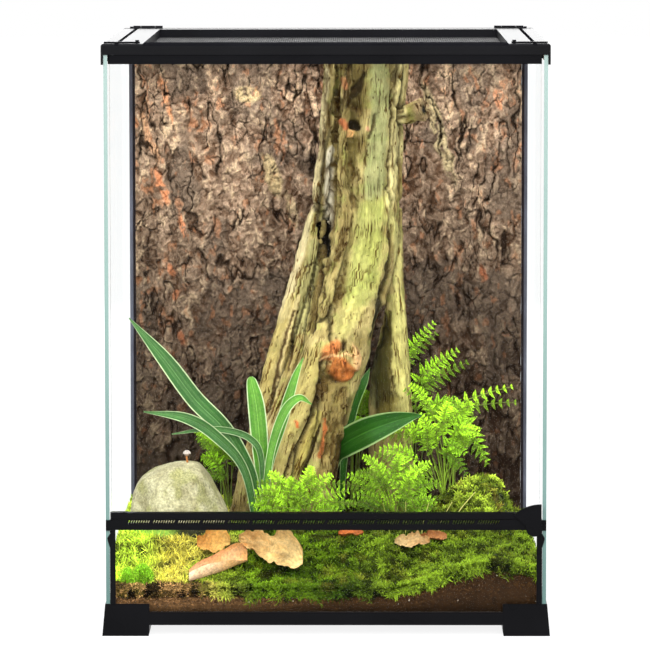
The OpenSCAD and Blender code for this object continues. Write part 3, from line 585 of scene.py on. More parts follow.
scene.view_settings.view_transform = "Standard"
make_camera()
make_world(0.85)
make_floor()
make_lamp("front", (0.5, -4.4, 1.5), (0, 0, 0.3), (2.4, 1.8), 190)
make_lamp("key", (-1.5, -2.4, 2.2), (0, 0, 0.3), (1.0, 1.0), 60)
make_lamp("back", (0, 3.2, 1.0), (0, 0, 0.5), (3.0, 1.2), 26, seen=True)
make_lamp("top", (0, -0.12, 1.0), (0, 0.12, 0.3), (0.5, 0.4), 11)


# Case

# Colours of the panes' cut edges, by the share of EDGE_SPAN that they stand above the floor
GREEN_EDGES = [(0.0, (56, 90, 86)), (0.25, (98, 128, 123)), (0.65, (124, 150, 144)), (1.0, (142, 162, 157))]
# The floor pane's cut edges are painted dark, as painted shade under the soil
SHADED_EDGES = [(0.0, (34, 28, 22)), (1.0, (60, 50, 42))]


def dress(material, *nodes):
    """Gives CAD nodes their material."""
    for node in nodes:
        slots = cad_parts[node].data.materials
        slots.clear()
        slots.append(material)


dress(black_plastic("black plastic"), "base_beam_front", "base_beam_back", "base_beam_left", "base_beam_right",
      "foot_front_left", "foot_front_right", "foot_back_left", "foot_back_right", "post_left", "post_right",
      "vent_strip", "clip_pivots", "door_bottom_rail", "door_top_rail", "latch_lever", "clip_left",
      "clip_right", "lid_hinge_pins")
lid_low, lid_high = box_mm("lid_frame")
lid_sides = (box_mm("lid_mesh")[1][0], lid_high[0], -lid_low[1])
dress(black_plastic("lid plastic", lid_sides), "top_frame", "lid_frame")
for node, axis, edges in (("floor_pane", "Z", SHADED_EDGES), ("back_pane", "Y", GREEN_EDGES),
                          ("left_pane", "X", GREEN_EDGES), ("right_pane", "X", GREEN_EDGES),
                          ("front_pane", "Y", GREEN_EDGES), ("door_pane", "Y", GREEN_EDGES)):
    dress(pane_glass("glass " + node, axis, edges), node)
dress(seal_rubber(), "corner_seal_left", "corner_seal_right")
dress(steel(), "door_pins", "latch_pin")

# The lid's wire and the distance from one to the next
WIRE = 0.55
WIRE_PITCH = 2.3


def wire_mesh():
    """Woven wire over the lid: straight wires both ways, in two layers that touch."""
    low, high = box_mm("lid_mesh")
    pile = Pile()
    cube = np.array([(x, y, z) for z in (0, 1) for y in (0, 1) for x in (0, 1)], float)
    sides = [[0, 2, 3, 1], [4, 5, 7, 6], [0, 1, 5, 4], [2, 6, 7, 3], [0, 4, 6, 2], [1, 3, 7, 5]]
    for along, other, base in ((0, 1, 0.0), (1, 0, WIRE)):
        for at in np.arange(low[other] + 1, high[other] - 1, WIRE_PITCH):
            start, size = low.copy(), high - low
            start[other], size[other] = at, WIRE
            start[2], size[2] = low[2] + base, WIRE
            pile.add(start + cube * size, grey(0.1), quads=sides)
    made, tree, shader = material("mesh wire", 0.5, 0.1)
    dusty = texture(tree, 8, 4)
    feed(tree, shader.inputs["Base Color"], ramp(tree, dusty, [(0.3, grey(0.02)), (0.7, grey(0.05))]))
    mesh = pile.mesh("mesh_wires", inside=False)
    mesh.shade_flat()
    piece("mesh_wires", mesh, made, ["lid_mesh"], "lid")


wire_mesh()

# Bark wall

# Painted shade for the bark's cracks
BARK_CRACK_SHADE = paint(30, 20, 13)
BARK_BROWN = paint(92, 68, 50)
BARK_TAN = paint(184, 157, 131)
BARK_PALE = paint(216, 188, 150)
BARK_GREY = paint(112, 98, 84)
BARK_ORANGE = paint(206, 140, 96)
# How far behind the slab's foremost point its middle level lies
BARK_DEPTH = 7
# Bright and pale places on the bark as (x, z, half width, half height, colour)
BARK_MARKS = [
    (-182, 425, 4.5, 20, (240, 158, 108)), (-158, 380, 4, 15, (236, 154, 106)),
    (-172, 334, 4, 7, (226, 146, 100)), (-168, 306, 3, 7, (216, 140, 96)),
    (-161, 259, 4, 9, (206, 128, 86)), (-88, 526, 15, 9, (216, 192, 144)),
    (-62, 440, 9, 26, (210, 186, 138)), (-40, 400, 6, 20, (206, 182, 140)),
    (121, 484, 8, 54, (206, 188, 142)), (-176, 520, 3, 26, (214, 150, 104)),
    (186, 520, 5, 12, (216, 150, 108)), (170, 330, 4, 8, (206, 128, 90)),
    (-196, 480, 5, 30, (196, 150, 112))]


def bark_wall():
    """A slab of rough bark: tilted flakes and chips on upright ridges, cracks darkened with painted shade, and
    orange inner bark.
    """
    low, high = box_mm("bark_wall")
    across, up = ((380, 490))
    x, z = flat_grid(low[0], high[0], across, low[2], high[2], up)
    spots = xyz(x, z)
    bent = spots + 9 * (xyz(rough(spots / 12, 3, 1), rough(spots / 12, 3, 2)) - 0.5)
    ridge = rough(bent / [17, 110, 1], 3, 3)
    flake = rough(bent / [6, 9, 1], 4, 4)
    blotch = rough(spots / [34, 50, 1], 3, 6)
    seam, own, tilt = plates(bent[:, :2] / [9, 19], 3)
    chip_seam, chip, chip_tilt = plates(bent[:, :2] / [3.6, 5.2], 4)
    line = np.abs(2 * rough(bent / [16, 60, 1], 3, 7) - 1)
    crack = (1 - step(line, 0.01, 0.07)) * step(rough(spots / [24, 60, 1], 2, 8), 0.36, 0.5)
    band = rough(spots / [20, 150, 1], 2, 12)
    split = (1 - step(seam, 0.02, 0.1)) * step(rough(spots / 20, 2, 9), 0.42, 0.56)
    nick = (1 - step(chip_seam, 0.02, 0.14)) * step(rough(spots / 12, 2, 10), 0.48, 0.6)
    relief = 6 * (ridge - 0.5) + 3 * (own - 0.5) + 3.4 * tilt + 1.6 * (chip - 0.5) + 1.8 * chip_tilt
    relief = relief + 3 * (flake - 0.5) - 4.5 * crack - 2.6 * split - 1.4 * nick
    front = xyz(x, low[1] + BARK_DEPTH - np.clip(relief, -5, BARK_DEPTH - 0.5), z)
    back = front.copy()
    back[:, 1] = high[1]
    # Raised parts are lighter and chips tilted one way lighter still: partly the bark's own tone, partly painted
    # light, which also brings out BARK_PALE
    shade = 0.46 + 0.42 * (own - 0.5) + 0.36 * (chip - 0.5) + 0.3 * chip_tilt
    shade = shade + 1.5 * (flake - 0.5) + 0.9 * (ridge - 0.5)
    tint = blend(BARK_BROWN, BARK_TAN, np.clip(shade, 0, 1)) * (0.62 + 0.76 * band)[:, None]
    tint = blend(tint, BARK_PALE, 0.6 * step(shade + 0.5 * (blotch - 0.5), 0.72, 0.98))
    tint = blend(tint, BARK_GREY, 0.5 * step(rough(spots / [40, 60, 1], 2, 5), 0.5, 0.62))
    tint = blend(tint, BARK_ORANGE, 0.4 * step(rough(bent / [6, 12, 1], 3, 11), 0.6, 0.7))
    for cx, cz, rx, rz, colour in BARK_MARKS:
        inside = ((bent[:, 0] - cx - 0.28 * (cz - z)) / rx) ** 2 + ((z - cz) / rz) ** 2
        tint = blend(tint, paint(*colour), 0.75 * (1 - step(inside, 0.5, 1.4)) * step(flake, 0.32, 0.46))
    # Painted shade: the bark is much darker towards the bottom, deep in the case
    tint = tint * np.clip(0.22 * np.exp((z - 150) / 190), 0.1, 1.6)[:, None]
    # Painted shade in the cracks, splits and nicks
    tint = blend(tint, BARK_CRACK_SHADE, np.clip(0.92 * crack + 0.7 * split + 0.4 * nick, 0, 1))
    pile = Pile()
    slab(pile, front, back, across, up, tint)
    skin = painted("bark", 0.85, 0.15, 1.3, 0.7, 0.26, (1, 1, 1.6))
    piece("bark_sheet", pile, skin, ["bark_wall"])


bark_wall()


# Ground

# Heights of the moss: at the front left and how much more at the front right, on the plateau behind, the mound's
# own height above that, and where it meets the right pane
FRONT_HIGH = 46
FRONT_RISE = 26
PLATEAU_HIGH = 80
MOUND_HIGH = 50
PANE_HIGH = 66
# Where along x the front rises, and how far behind the front the slope to the plateau ends
FRONT_RISE_X = (60, 170)
SLOPE_DEEP = 110
# The mound's middle, from the right pane and in y, how far it reaches from there in x and in y, and how far from
# the right pane it starts and ends to fall
MOUND_INSET, MOUND_Y = 53, -5
MOUND_WIDE, MOUND_DEEP = 90, 130
FALL_START, FALL_END = 42, 4
# The moss is this thick at the front and this much thicker on the plateau; the soil starts a little under it
MOSS_THICK = 8.0
MOSS_THICKER = 5.6
SOIL_GAP = 0.4


def plateau(y):
    """0 at the front of the ground and 1 on the plateau."""
    return step(y, ground_front, ground_front + SLOPE_DEEP)


def ground(x, y):
    """Height of the moss: low at the front, a plateau behind it and a mound that falls away at the right pane."""
    edge = FRONT_HIGH + FRONT_RISE * step(x, *FRONT_RISE_X)
    off_mound = ((x - ground_side + MOUND_INSET) / MOUND_WIDE) ** 2 + ((y - MOUND_Y) / MOUND_DEEP) ** 2
    high = edge + (PLATEAU_HIGH - edge) * plateau(y) + MOUND_HIGH * np.clip(1 - off_mound, 0, 1) ** 2
    fall = step(x, ground_side - FALL_START, ground_side - FALL_END)
    return high - fall * np.maximum(high - PANE_HIGH, 0)


def ground_grid(across, up, front_gap):
    """A flat grid over the ground, which starts a little behind its front."""
    return flat_grid(-ground_side, ground_side, across, ground_front + front_gap, ground_back, up)


SOIL_TINT = paint(84, 58, 32)
MOSS_DARK = paint(44, 66, 8)
MOSS_GREEN = paint(104, 136, 22)
MOSS_BRIGHT = paint(186, 210, 66)
MOSS_YELLOW = paint(206, 196, 84)
MOSS_BROWN = paint(104, 74, 34)


def moss_tint(x, y, z):
    """Bright and yellow at the left and over the mound, and dark in the middle."""
    spots = xyz(x, y, z)
    cloudy = rough(spots / 26, 3, 31)
    patch = rough(spots / 60, 2, 32)
    tint = blend(MOSS_DARK, MOSS_GREEN, np.clip(2.4 * (cloudy - 0.28), 0, 1))
    left = step(-x, 70, 130)
    mound = step(z, 84, 104)
    tint = blend(tint, MOSS_BRIGHT, 0.16 * step(x, 10, 60) + 0.64 * mound * step(cloudy, 0.36, 0.56))
    tint = blend(tint, MOSS_BRIGHT, left * (0.5 + 0.5 * step(cloudy, 0.3, 0.5)))
    tint = blend(tint, MOSS_YELLOW, left * step(x, -190, -160) * step(patch, 0.3, 0.5))
    brown = step(rough(spots / 17, 3, 33), 0.58, 0.7) * (0.35 + 0.4 * mound) * (1 - left)
    tint = tint * (1 + 0.3 * step(-x, 172, 196))[..., None]
    litter = blend(paint(62, 38, 18), paint(176, 132, 84), step(rough(spots / 2.5, 2, 34), 0.4, 0.75))
    return blend(blend(tint, MOSS_BROWN, brown), litter, 0.95 * worn(x, y))


def worn(x, y):
    """1 where bare soil and bits of wood show at the front left, 0 elsewhere."""
    reach = y - ground_front - 24 * rough(xyz(x / 14, y / 14), 2, 26)
    return step(-x, 100, 136) * (1 - step(reach, -2, 6))


def under_plants(x, y):
    """1 in the shade of the ferns and behind them, 0 in the open."""
    return step(y, -95, -60) * step(x, -110, -80) * step(-x, -150, -110)


def blades(pile, seeds, roots, up, length, width, spread, tints):
    """A short blade from each root, leaning from its up direction by chance."""
    many = len(roots)
    lean = unit(seeds.normal(size=(many, 3)))
    way = unit(up + spread * lean)
    long = length * seeds.uniform(0.55, 1.15, (many, 1))
    side = unit(np.cross(way, seeds.normal(size=(many, 3)))) * width * seeds.uniform(0.6, 1.2, (many, 1)) / 2
    bend = roots + way * long * 0.55 + side * 0.2
    tip = roots + way * long + lean * long * 0.2 * spread
    corners = np.stack([roots - side, roots + side, bend + side, bend - side, tip], 1)
    # Painted light and shade: each blade is dark at its root and bright at its tip
    light = seeds.uniform(0.5, 1.4, (many, 1, 1)) * np.array([0.12, 0.12, 0.85, 0.85, 1.4])[None, :, None]
    pile.copies(corners, tints[:, None] * light, [[0, 1, 2], [0, 2, 3], [3, 2, 4]])


def rosettes(pile, seeds, roots, up, reach, width, tints):
    """Little stars of moss, eight leaflets to each."""
    many, points = len(roots), 8
    first = unit(np.cross(up, seeds.normal(size=(many, 3))))
    second = np.cross(up, first)
    turn = 2 * math.pi * (np.arange(points) + 0.5 * seeds.uniform(size=(many, 1))) / points
    out = np.cos(turn)[..., None] * first[:, None] + np.sin(turn)[..., None] * second[:, None]
    size = reach * seeds.uniform(0.6, 1.15, (many, points, 1))
    raise_by = seeds.uniform(0.25, 0.75, (many, points, 1)) * size * up[:, None]
    centre = np.broadcast_to(roots[:, None], out.shape)
    across = np.cross(out, up[:, None]) * width / 2
    middle = centre + out * size * 0.5 + raise_by * 0.8
    corners = np.stack([centre, middle - across, middle + across, centre + out * size + raise_by], 2)
    # Painted light and shade: each leaflet is darker at the middle of the star and bright at its tip
    light = seeds.uniform(0.75, 1.35, (many, 1, 1)) * np.array([0.35, 1.0, 0.9, 1.4])[None, :, None]
    shades = np.repeat(tints[:, None] * light, points, 0).reshape(-1, 4, 3)
    pile.copies(corners.reshape(-1, 4, 3), shades, [[0, 1, 2], [1, 3, 2]])


# How many blades and stars the moss has, and how many of the blades stand at the left
BLADES = 54000
BLADES_LEFT = 9000
STARS = 5200


def moss_tufts(roots, top):
    """How much of a tuft each root stands in, from 0 to 1, and how much light the plants leave it."""
    tuft = step(rough(roots / 7, 2, 25), 0.34, top)[:, None]
    return tuft, (1 - 0.6 * under_plants(roots[:, 0], roots[:, 1]))[:, None]


def moss():
    """The moss: a closed sheet on the soil, short blades over it and little stars."""
    across, up = 200, 190
    x, y = ground_grid(across, up, 4)
    spots = xyz(x, y)
    high = ground(x, y)
    lumps = 3.2 * (rough(spots / 15, 3, 21) - 0.45) + 2.4 * (rough(spots / 5, 2, 22) - 0.5)
    top = xyz(x, y, high - 1.4 + lumps)
    low = xyz(x, y, high - MOSS_THICK - MOSS_THICKER * plateau(y))
    pile = Pile()
    # The sheet is painted at under a third of the moss's colour, as painted shade down among the blades
    slab(pile, top, low, across, up, 0.3 * moss_tint(x, y, high), 0.6 * SOIL_TINT)
    seeds = np.random.default_rng(5)
    x = seeds.uniform(-ground_side, ground_side, BLADES)
    y = ground_front + (ground_back - ground_front) * seeds.uniform(size=BLADES) ** 2.0
    x[:BLADES_LEFT] = -ground_side + 75 * seeds.uniform(size=BLADES_LEFT) ** 0.8
    front = seeds.uniform(size=BLADES) < 0.14
    y[front] = ground_front + 0.3 + 3.5 * seeds.uniform(size=front.sum())
    ragged = 3 + 15 * rough(xyz(x / 11, 0), 3, 24) ** 1.5
    roots = xyz(x, y, ground(x, y) - np.where(front, seeds.uniform(0, 1, BLADES) * ragged, 1.5))
    left = step(-x, 60, 150)
    tall = (1 + 0.5 * left) * (1 - 0.8 * worn(x, y))
    way = np.where(front[:, None], [[0, -0.5, -0.1]], [[0, -0.35, 1.0]])
    tuft, dim = moss_tufts(roots, 0.62)
    # Painted shade: blades between the tufts are nearly black, and those under the plants darker
    tints = moss_tint(*roots.T) * (0.04 + (1.1 + 0.3 * left[:, None]) * tuft) * dim
    blades(pile, seeds, roots, way, 7.2 * tall[:, None] * (0.55 + 0.6 * tuft), 1.25, 0.8, tints)
    x = seeds.uniform(-ground_side, ground_side, STARS)
    y = ground_front + 1 + (ground_back - ground_front) * seeds.uniform(size=STARS) ** 2.4
    roots = xyz(x, y, ground(x, y) + seeds.uniform(-0.5, 2.5, STARS))
    way = unit(np.array([[0, -0.7, 1.0]]) + 0.35 * seeds.normal(size=(STARS, 3)))
    tuft, dim = moss_tufts(roots, 0.6)
    # Painted shade: stars between the tufts and under the plants are darker
    rosettes(pile, seeds, roots, way, 5.4, 1.5, moss_tint(*roots.T) * (0.14 + tuft) * dim)
    piece("moss_carpet", pile, painted("moss", 0.75, 0.2, 2.2, 0.5), ["moss_bed"])


CUSHION_BLADES = 4000


def cushion():
    """The bright cushion in the front left corner."""
    low, high = box_mm("moss_cushion")
    wide, deep, tall = high - low
    seeds = np.random.default_rng(9)
    pile = Pile()
    for across, share in ((0.63, 0.7), (0.2, 0.4)):
        centre = [low[0] + wide * across, (low[1] + high[1]) / 2, low[2] + 1]
        reach = np.array([wide * share / 2, deep / 2, tall * share ** 0.3]) - 2.8
        ball(pile, centre, reach, 40, 24,
             lambda way: (1 + 0.08 * (rough(way * 4, 2, 3) - 0.5), paint(40, 90, 14)))
        way = unit(seeds.normal(size=(CUSHION_BLADES, 3)) + [0, -0.2, 0.35])
        way[:, 2] = np.abs(way[:, 2])
        tints = blend(paint(116, 178, 30), paint(180, 226, 66), seeds.uniform(size=len(way)))
        blades(pile, seeds, centre + way * reach, way, 3.4, 1.1, 0.5, tints)
    piece("moss_pad", pile, painted("moss pad", 0.7, 0.2, 2, 0.4), ["moss_cushion"])


def soil_tint(x):
    """Lighter soil at the left and dark at the right."""
    return blend(paint(84, 60, 36), paint(44, 28, 12), step(x, -170, 20))


# How many crumbs and bits of root lie against the front glass
CRUMBS = 2600
ROOT_BITS = 46


def soil():
    """Damp brown soil, with crumbs and bits of root pressed against the front glass."""
    across, up = 120, 60
    front_gap = 1.6
    x, y = ground_grid(across, up, front_gap)
    top = xyz(x, y, ground(x, y) - (MOSS_THICK + SOIL_GAP) - MOSS_THICKER * plateau(y))
    # The foot reaches further forward than the top, so that no light comes through the floor pane before it
    low = xyz(x, y - 1.5 * (y < ground_front + 2), soil_low)
    pile = Pile()
    slab(pile, top, low, across, up, soil_tint(x))
    seeds = np.random.default_rng(12)
    x = seeds.uniform(-ground_side + 1, ground_side - 1, CRUMBS)
    tall = ground(x, ground_front) - (MOSS_THICK + SOIL_GAP) - soil_low - 1.5
    z = soil_low + 1 + seeds.uniform(size=CRUMBS) * tall
    size = seeds.uniform(0.4, 1.0, (CRUMBS, 1)) ** 3 * 2.2 + 0.5
    ways = np.array([[1, 0, 0], [-1, 0, 0], [0, 1, 0], [0, -1, 0], [0, 0, 1], [0, 0, -1.0]])
    spin = unit(seeds.normal(size=(CRUMBS, 6, 3)) * 0.35 + ways)
    corners = xyz(x, ground_front + front_gap, z)[:, None] + spin * size[:, None] * seeds.uniform(
        0.6, 1.1, (CRUMBS, 6, 1))
    shades = soil_tint(x) * seeds.uniform(0.7, 2.8, (CRUMBS, 1))
    shades[seeds.uniform(size=CRUMBS) < 0.015] = paint(170, 160, 142)
    pile.copies(corners, np.repeat(shades[:, None], 6, 1), [
        [0, 2, 4], [2, 1, 4], [1, 3, 4], [3, 0, 4], [2, 0, 5], [1, 2, 5], [3, 1, 5], [0, 3, 5]])
    for k in range(ROOT_BITS):
        start = np.array([seeds.uniform(-205, 205), ground_front + 1.2, soil_low + seeds.uniform(3, 20)])
        far = seeds.uniform(6, 18)
        line = [start, start + [far * 0.5, 0, seeds.uniform(-3, 3)], start + [far, 0, seeds.uniform(-4, 4)]]
        tube(pile, spline(line, 7), 0.45, 5, 2.2 * soil_tint(start[0]) * seeds.uniform(0.8, 1.3))
    piece("soil_block", pile, painted("soil", 0.85, 0.25, 2.4, 0.8, 0.4), ["soil"])


# The stone's facets: which way each faces, and how far from the middle of the foot it lies
STONE_FACES = [
    (-0.04, -0.05, 1, 75.5), (-0.363, 0, 0.932, 73.8), (-0.567, -0.05, 0.824, 71.6),
    (-0.905, 0, 0.426, 62.5), (-1, 0, 0.02, 51.5), (0.85, -0.05, 0.52, 57), (1, 0, 0.05, 52.5),
    (0.1, -0.62, 0.78, 70), (-0.3, -0.75, 0.59, 66), (0.05, -0.99, 0.12, 44.5), (-0.72, -0.69, 0.1, 47),
    (0.68, -0.72, 0.15, 46), (0, 0.99, 0.1, 45), (0.1, 0.6, 0.8, 70), (0.7, 0.7, 0.1, 49),
    (-0.7, 0.7, 0.1, 49), (0, 0, -1, 2)]
# How softly the facets meet, in millimetres
STONE_SOFT = 2.2


def stone():
    """A pale rounded boulder with soft facets, flat underneath."""
    low, high = box_mm("stone")
    faces = np.array(STONE_FACES)
    normals, reach = unit(faces[:, :3]), faces[:, 3]

    def shape(way):
        facing = np.clip(way @ normals.T, 1e-3, None)
        far = reach / facing
        near = far.min(1)
        soft = near - STONE_SOFT * np.log(np.exp(-(far - near[:, None]) / STONE_SOFT).sum(1))
        pits = rough(way * 9, 5, 41)
        soft = soft + 2.4 * (rough(way * 3, 2, 42) - 0.55) + 1.6 * (pits - 0.5)
        tint = blend(paint(134, 127, 90), paint(198, 193, 156), np.clip(1.6 * pits - 0.25, 0, 1))
        tint = blend(tint, paint(142, 142, 84), 0.6 * step(rough(way * 5, 3, 43), 0.5, 0.66))
        # Painted shade: the sides that face down are darker
        tint = blend(tint, paint(104, 92, 66), 0.6 * step(-way[:, 2], -0.35, 0.05))
        # At its foot: green moss on the left, and painted shade on the right
        base_moss_and_shade = blend(paint(26, 34, 8), paint(150, 196, 74), step(-way[:, 0], -0.1, 0.3))
        high = way[:, 2] * soft - 3 * rough(way * 12, 2, 44)
        return soft, blend(tint, base_moss_and_shade, 0.9 * step(-high, -16, -11))

    pile = Pile()
    ball(pile, [(low[0] + high[0]) / 2, (low[1] + high[1]) / 2, low[2] + 0.5], 1, 150, 110, shape)
    pile.points[0][:, 2] = np.maximum(pile.points[0][:, 2], low[2])
    piece("boulder", pile, painted("boulder", 0.8, 0.25, 2.2, 0.7, 0.3), ["stone"])


def mushroom():
    """A small mushroom on the stone: a bent stalk, and a cap that is flatter underneath."""
    low, high = box_mm("mushroom")
    x, y = (low + high)[:2] / 2
    pile = Pile()
    stalk = [(x + 0.6, y, low[2]), (x - 0.2, y, low[2] + 5), (x, y, high[2] - 3)]
    tube(pile, spline(stalk, 9), [1.3, 1.2, 1.1] + 6 * [1.0], 10, paint(176, 112, 58))
    radius = (high[0] - low[0]) / 2 - 0.3
    ball(pile, [x, y, high[2] - radius + 0.2], radius, 28, 18,
         lambda way: (np.where(way[:, 2] < 0, 0.55, 1) + 0.05 * rough(way * 3, 2, 2),
                      blend(paint(140, 112, 90), paint(190, 178, 168), np.clip(0.6 + way[:, 2], 0, 1))))
    piece("toadstool", pile, painted("toadstool", 0.5, 0.4, 1.2, 0.2), ["mushroom"])


moss()
cushion()
soil()
stone()
mushroom()

# Trunk: each strand is a line of points (x, y, z, radius)

STRANDS = [
    [(41, 90, 571, 41.6), (40, 88, 526, 39.5), (38, 84, 462, 39), (38, 82, 419, 39.5),
     (35, 80, 377, 41.2), (26, 74, 334, 41), (16, 66, 292, 39), (8, 57, 250, 34), (-2, 48, 208, 29),
     (-9, 40, 156, 25), (-21, 26, 79, 26)],
    [(4, 44, 300, 12), (-13, 32, 253, 16), (-28, 24, 211, 18), (-45, 14, 170, 18), (-55, 2, 128, 18),
     (-66, -8, 78, 20)],
    [(-9, 30, 226, 8), (-20, 22, 190, 9.5), (-31, 14, 159, 10.5), (-41, 6, 128, 10), (-50, -2, 79, 11)],
    [(-1, 78, 436, 7), (-16, 79, 387, 10), (-23, 79, 355, 12), (-34, 77, 313, 12.8), (-47, 74, 270, 12.8),
     (-57, 72, 240, 11.2), (-67, 70, 206, 10.2), (-75, 67, 167, 10.4), (-83, 63, 131, 12.3),
     (-92, 60, 79, 15)],
    [(-16, 74, 324, 5.3), (-30, 68, 270, 6.4), (-43, 62, 228, 7.5), (-58, 56, 186, 7.5),
     (-68, 50, 144, 8.5), (-74, 46, 79, 10)],
    [(3, 64, 572, 7), (0, 64, 506, 8), (-4, 66, 453, 9), (-8, 72, 415, 9)],
    [(74, 86, 410, 6), (74, 88, 376, 7), (73, 92, 333, 9.5), (71, 95, 289, 14), (68, 97, 246, 19.9),
     (67, 99, 202, 23.2), (67, 101, 159, 24.5), (69, 103, 115, 24.5), (70, 104, 79, 25)],
    [(80, 84, 571, 6.9), (75, 82, 494, 6.4), (74, 82, 419, 6)],
    [(70, 80, 508, 10), (84, 76, 511, 10.5), (94, 71, 515, 11), (103, 67, 517, 13)],
    [(24, 56, 571, 7), (21, 52, 520, 8), (16, 48, 460, 7), (18, 44, 400, 9), (8, 40, 350, 8),
     (-2, 36, 305, 8), (-7, 46, 284, 4)],
]
# Marks on the trunk as its front shows them, each over those before it: a line of (x, z, half width), its
# colour, its strength, and how far it rises in millimetres. Most are the wood's own colour, but the darkest ones,
# which sink, are painted shade in grooves and crevices, the two dark ones at x 53 to 62 are the painted shadow of
# the main trunk in the gap by the strut and on its left side, and the pale one near x 77 is a painted highlight
# on the right edge.
TRUNK_MARKS_AND_SHADING = [
    ([(56, 562, 10), (55, 515, 10), (52, 468, 11), (49, 433, 12)], (160, 170, 116), 0.6, 0),
    ([(46, 410, 15), (42, 362, 17), (32, 322, 15)], (180, 190, 98), 0.6, 0),
    ([(26, 305, 12), (15, 285, 10)], (206, 198, 116), 0.6, 0),
    # Painted highlight on the trunk's right edge
    ([(77, 562, 6), (76, 515, 7), (73, 467, 6), (68, 430, 5), (65, 410, 4)], (240, 226, 156), 0.85, 0.5),
    ([(28, 566, 14), (29, 520, 12), (25, 484, 5)], (120, 104, 56), 0.8, -2),
    ([(40, 558, 2.5), (33, 540, 4), (22, 522, 3.5)], (46, 34, 16), 0.9, -2),
    ([(22, 566, 3), (17, 530, 2.5), (12, 508, 2)], (72, 54, 26), 0.8, -1.5),
    ([(31, 486, 4), (26, 462, 5), (20, 434, 4)], (112, 98, 48), 0.75, -1),
    ([(22, 420, 5), (17, 390, 6), (14, 366, 5)], (150, 130, 78), 0.7, -0.5),
    ([(4, 340, 5), (0, 316, 6), (-6, 290, 4)], (196, 178, 112), 0.6, 0.5),
    ([(67, 534, 1.4), (67, 487, 1.6), (65, 442, 1.4), (69, 387, 2.2), (64, 341, 3), (55, 317, 4)],
     (58, 44, 14), 0.9, -3),
    # Painted shadow of the main trunk in the gap by the strut
    ([(56, 322, 3), (55, 300, 6), (53, 270, 8)], (26, 22, 4), 0.9, -3),
    ([(64, 434, 2.5), (65, 413, 3), (75, 386, 4), (75, 330, 5), (79, 286, 6)], (216, 208, 132), 0.7, 0.5),
    ([(0, 562, 3), (-6, 494, 3), (-13, 442, 4), (-17, 412, 4), (-24, 385, 5), (-36, 340, 5), (-48, 296, 6)],
     (222, 206, 158), 0.75, 0.5),
    ([(8, 540, 2), (2, 492, 2.4), (-6, 460, 2.4)], (84, 74, 48), 0.8, -2),
    ([(4, 474, 4), (1, 433, 5), (0, 398, 4), (-1, 382, 3)], (230, 220, 190), 0.9, 1),
    ([(10, 470, 1.4), (8, 430, 1.6), (6, 395, 1.4)], (106, 88, 50), 0.8, -1.5),
    ([(-4, 484, 2), (-7, 442, 2.6), (-10, 415, 3.2), (-8, 396, 3.6)], (84, 74, 52), 0.92, -4),
    ([(-15, 372, 6), (-19, 341, 8), (-26, 314, 8), (-31, 284, 8)], (170, 166, 108), 0.8, 0),
    ([(-7, 366, 2.4), (-9, 341, 4), (-14, 314, 4.5), (-20, 284, 4)], (98, 80, 40), 0.75, -1.5),
    ([(-4, 372, 1.5), (-8, 341, 1.5), (-15, 284, 1.8)], (40, 28, 12), 0.92, -3),
    ([(-23, 352, 1), (-14, 348, 1.2), (-8, 346, 1)], (70, 48, 24), 0.9, -1.2),
    ([(-39, 313, 5), (-52, 283, 6), (-63, 243, 6), (-74, 190, 6)], (196, 178, 108), 0.6, 0),
    ([(-32, 314, 3), (-39, 295, 3), (-51, 243, 4), (-58, 211, 4), (-64, 180, 4)], (218, 198, 136), 0.8, 1),
    ([(-37, 300, 1.2), (-46, 270, 1.8), (-55, 231, 2.2), (-62, 196, 2)], (66, 44, 22), 0.92, -3.5),
    ([(-33, 300, 1.2), (-38, 262, 2), (-43, 238, 1.6)], (72, 50, 26), 0.88, -2.5),
    ([(-14, 262, 9), (-22, 230, 12), (-30, 206, 13), (-42, 179, 14), (-52, 148, 15), (-60, 120, 16)],
     (190, 174, 104), 0.7, 1),
    ([(-5, 256, 2), (-8, 222, 3), (-15, 201, 2.5), (-21, 184, 1.8), (-37, 156, 1.8), (-50, 116, 2)],
     (38, 26, 12), 0.95, -5),
    ([(-10, 195, 4), (-18, 172, 5), (-27, 153, 5), (-39, 121, 6)], (184, 168, 88), 0.8, 1),
    ([(-9, 183, 1.6), (-18, 157, 1.8), (-27, 136, 2.2)], (40, 28, 12), 0.92, -4),
    ([(10, 222, 14), (6, 190, 13), (4, 160, 13), (2, 130, 14)], (148, 128, 72), 0.75, 0),
    ([(14, 170, 4), (12, 145, 5), (6, 120, 7)], (64, 50, 20), 0.8, -2),
    ([(-33, 191, 2.2), (-32, 184, 1.6)], (206, 104, 54), 0.9, 0),
    ([(-4, 190, 1.8), (-4, 173, 2.2), (-8, 152, 2.6)], (206, 116, 62), 0.9, -0.5),
    ([(50, 262, 4), (49, 237, 5), (50, 200, 5)], (134, 138, 88), 0.7, 0),
    # Painted shadow of the main trunk on the strut's left side
    ([(57, 290, 9), (57, 250, 12), (57, 225, 13), (62, 196, 12)], (46, 44, 12), 0.92, -1.5),
    ([(74, 311, 8), (78, 274, 10), (80, 237, 11), (82, 190, 11)], (212, 204, 122), 0.75, 0.5),
    ([(71, 232, 1.6), (73, 206, 2.2)], (60, 48, 20), 0.85, -1.5),
    ([(66, 300, 2), (67, 260, 2.5), (68, 236, 2)], (84, 74, 30), 0.8, -1),
    ([(68, 196, 12), (70, 170, 14)], (110, 98, 46), 0.7, 0)]
# A hole through the trunk, painted dark as its shade, a line like those of the marks
HOLLOW = [(-5, 394, 5), (-2, 366, 5)]
# Where the bark is furrowed: x, z, half width and half height
FURROWED = [(14, 480, 24, 120), (6, 350, 16, 70), (74, 500, 8, 80), (6, 190, 22, 60)]
# The middle of the branch stub's open end, and the x at which the hollow in it begins
STUB_END = (106, 66, 517)
STUB_HOLLOW = 101
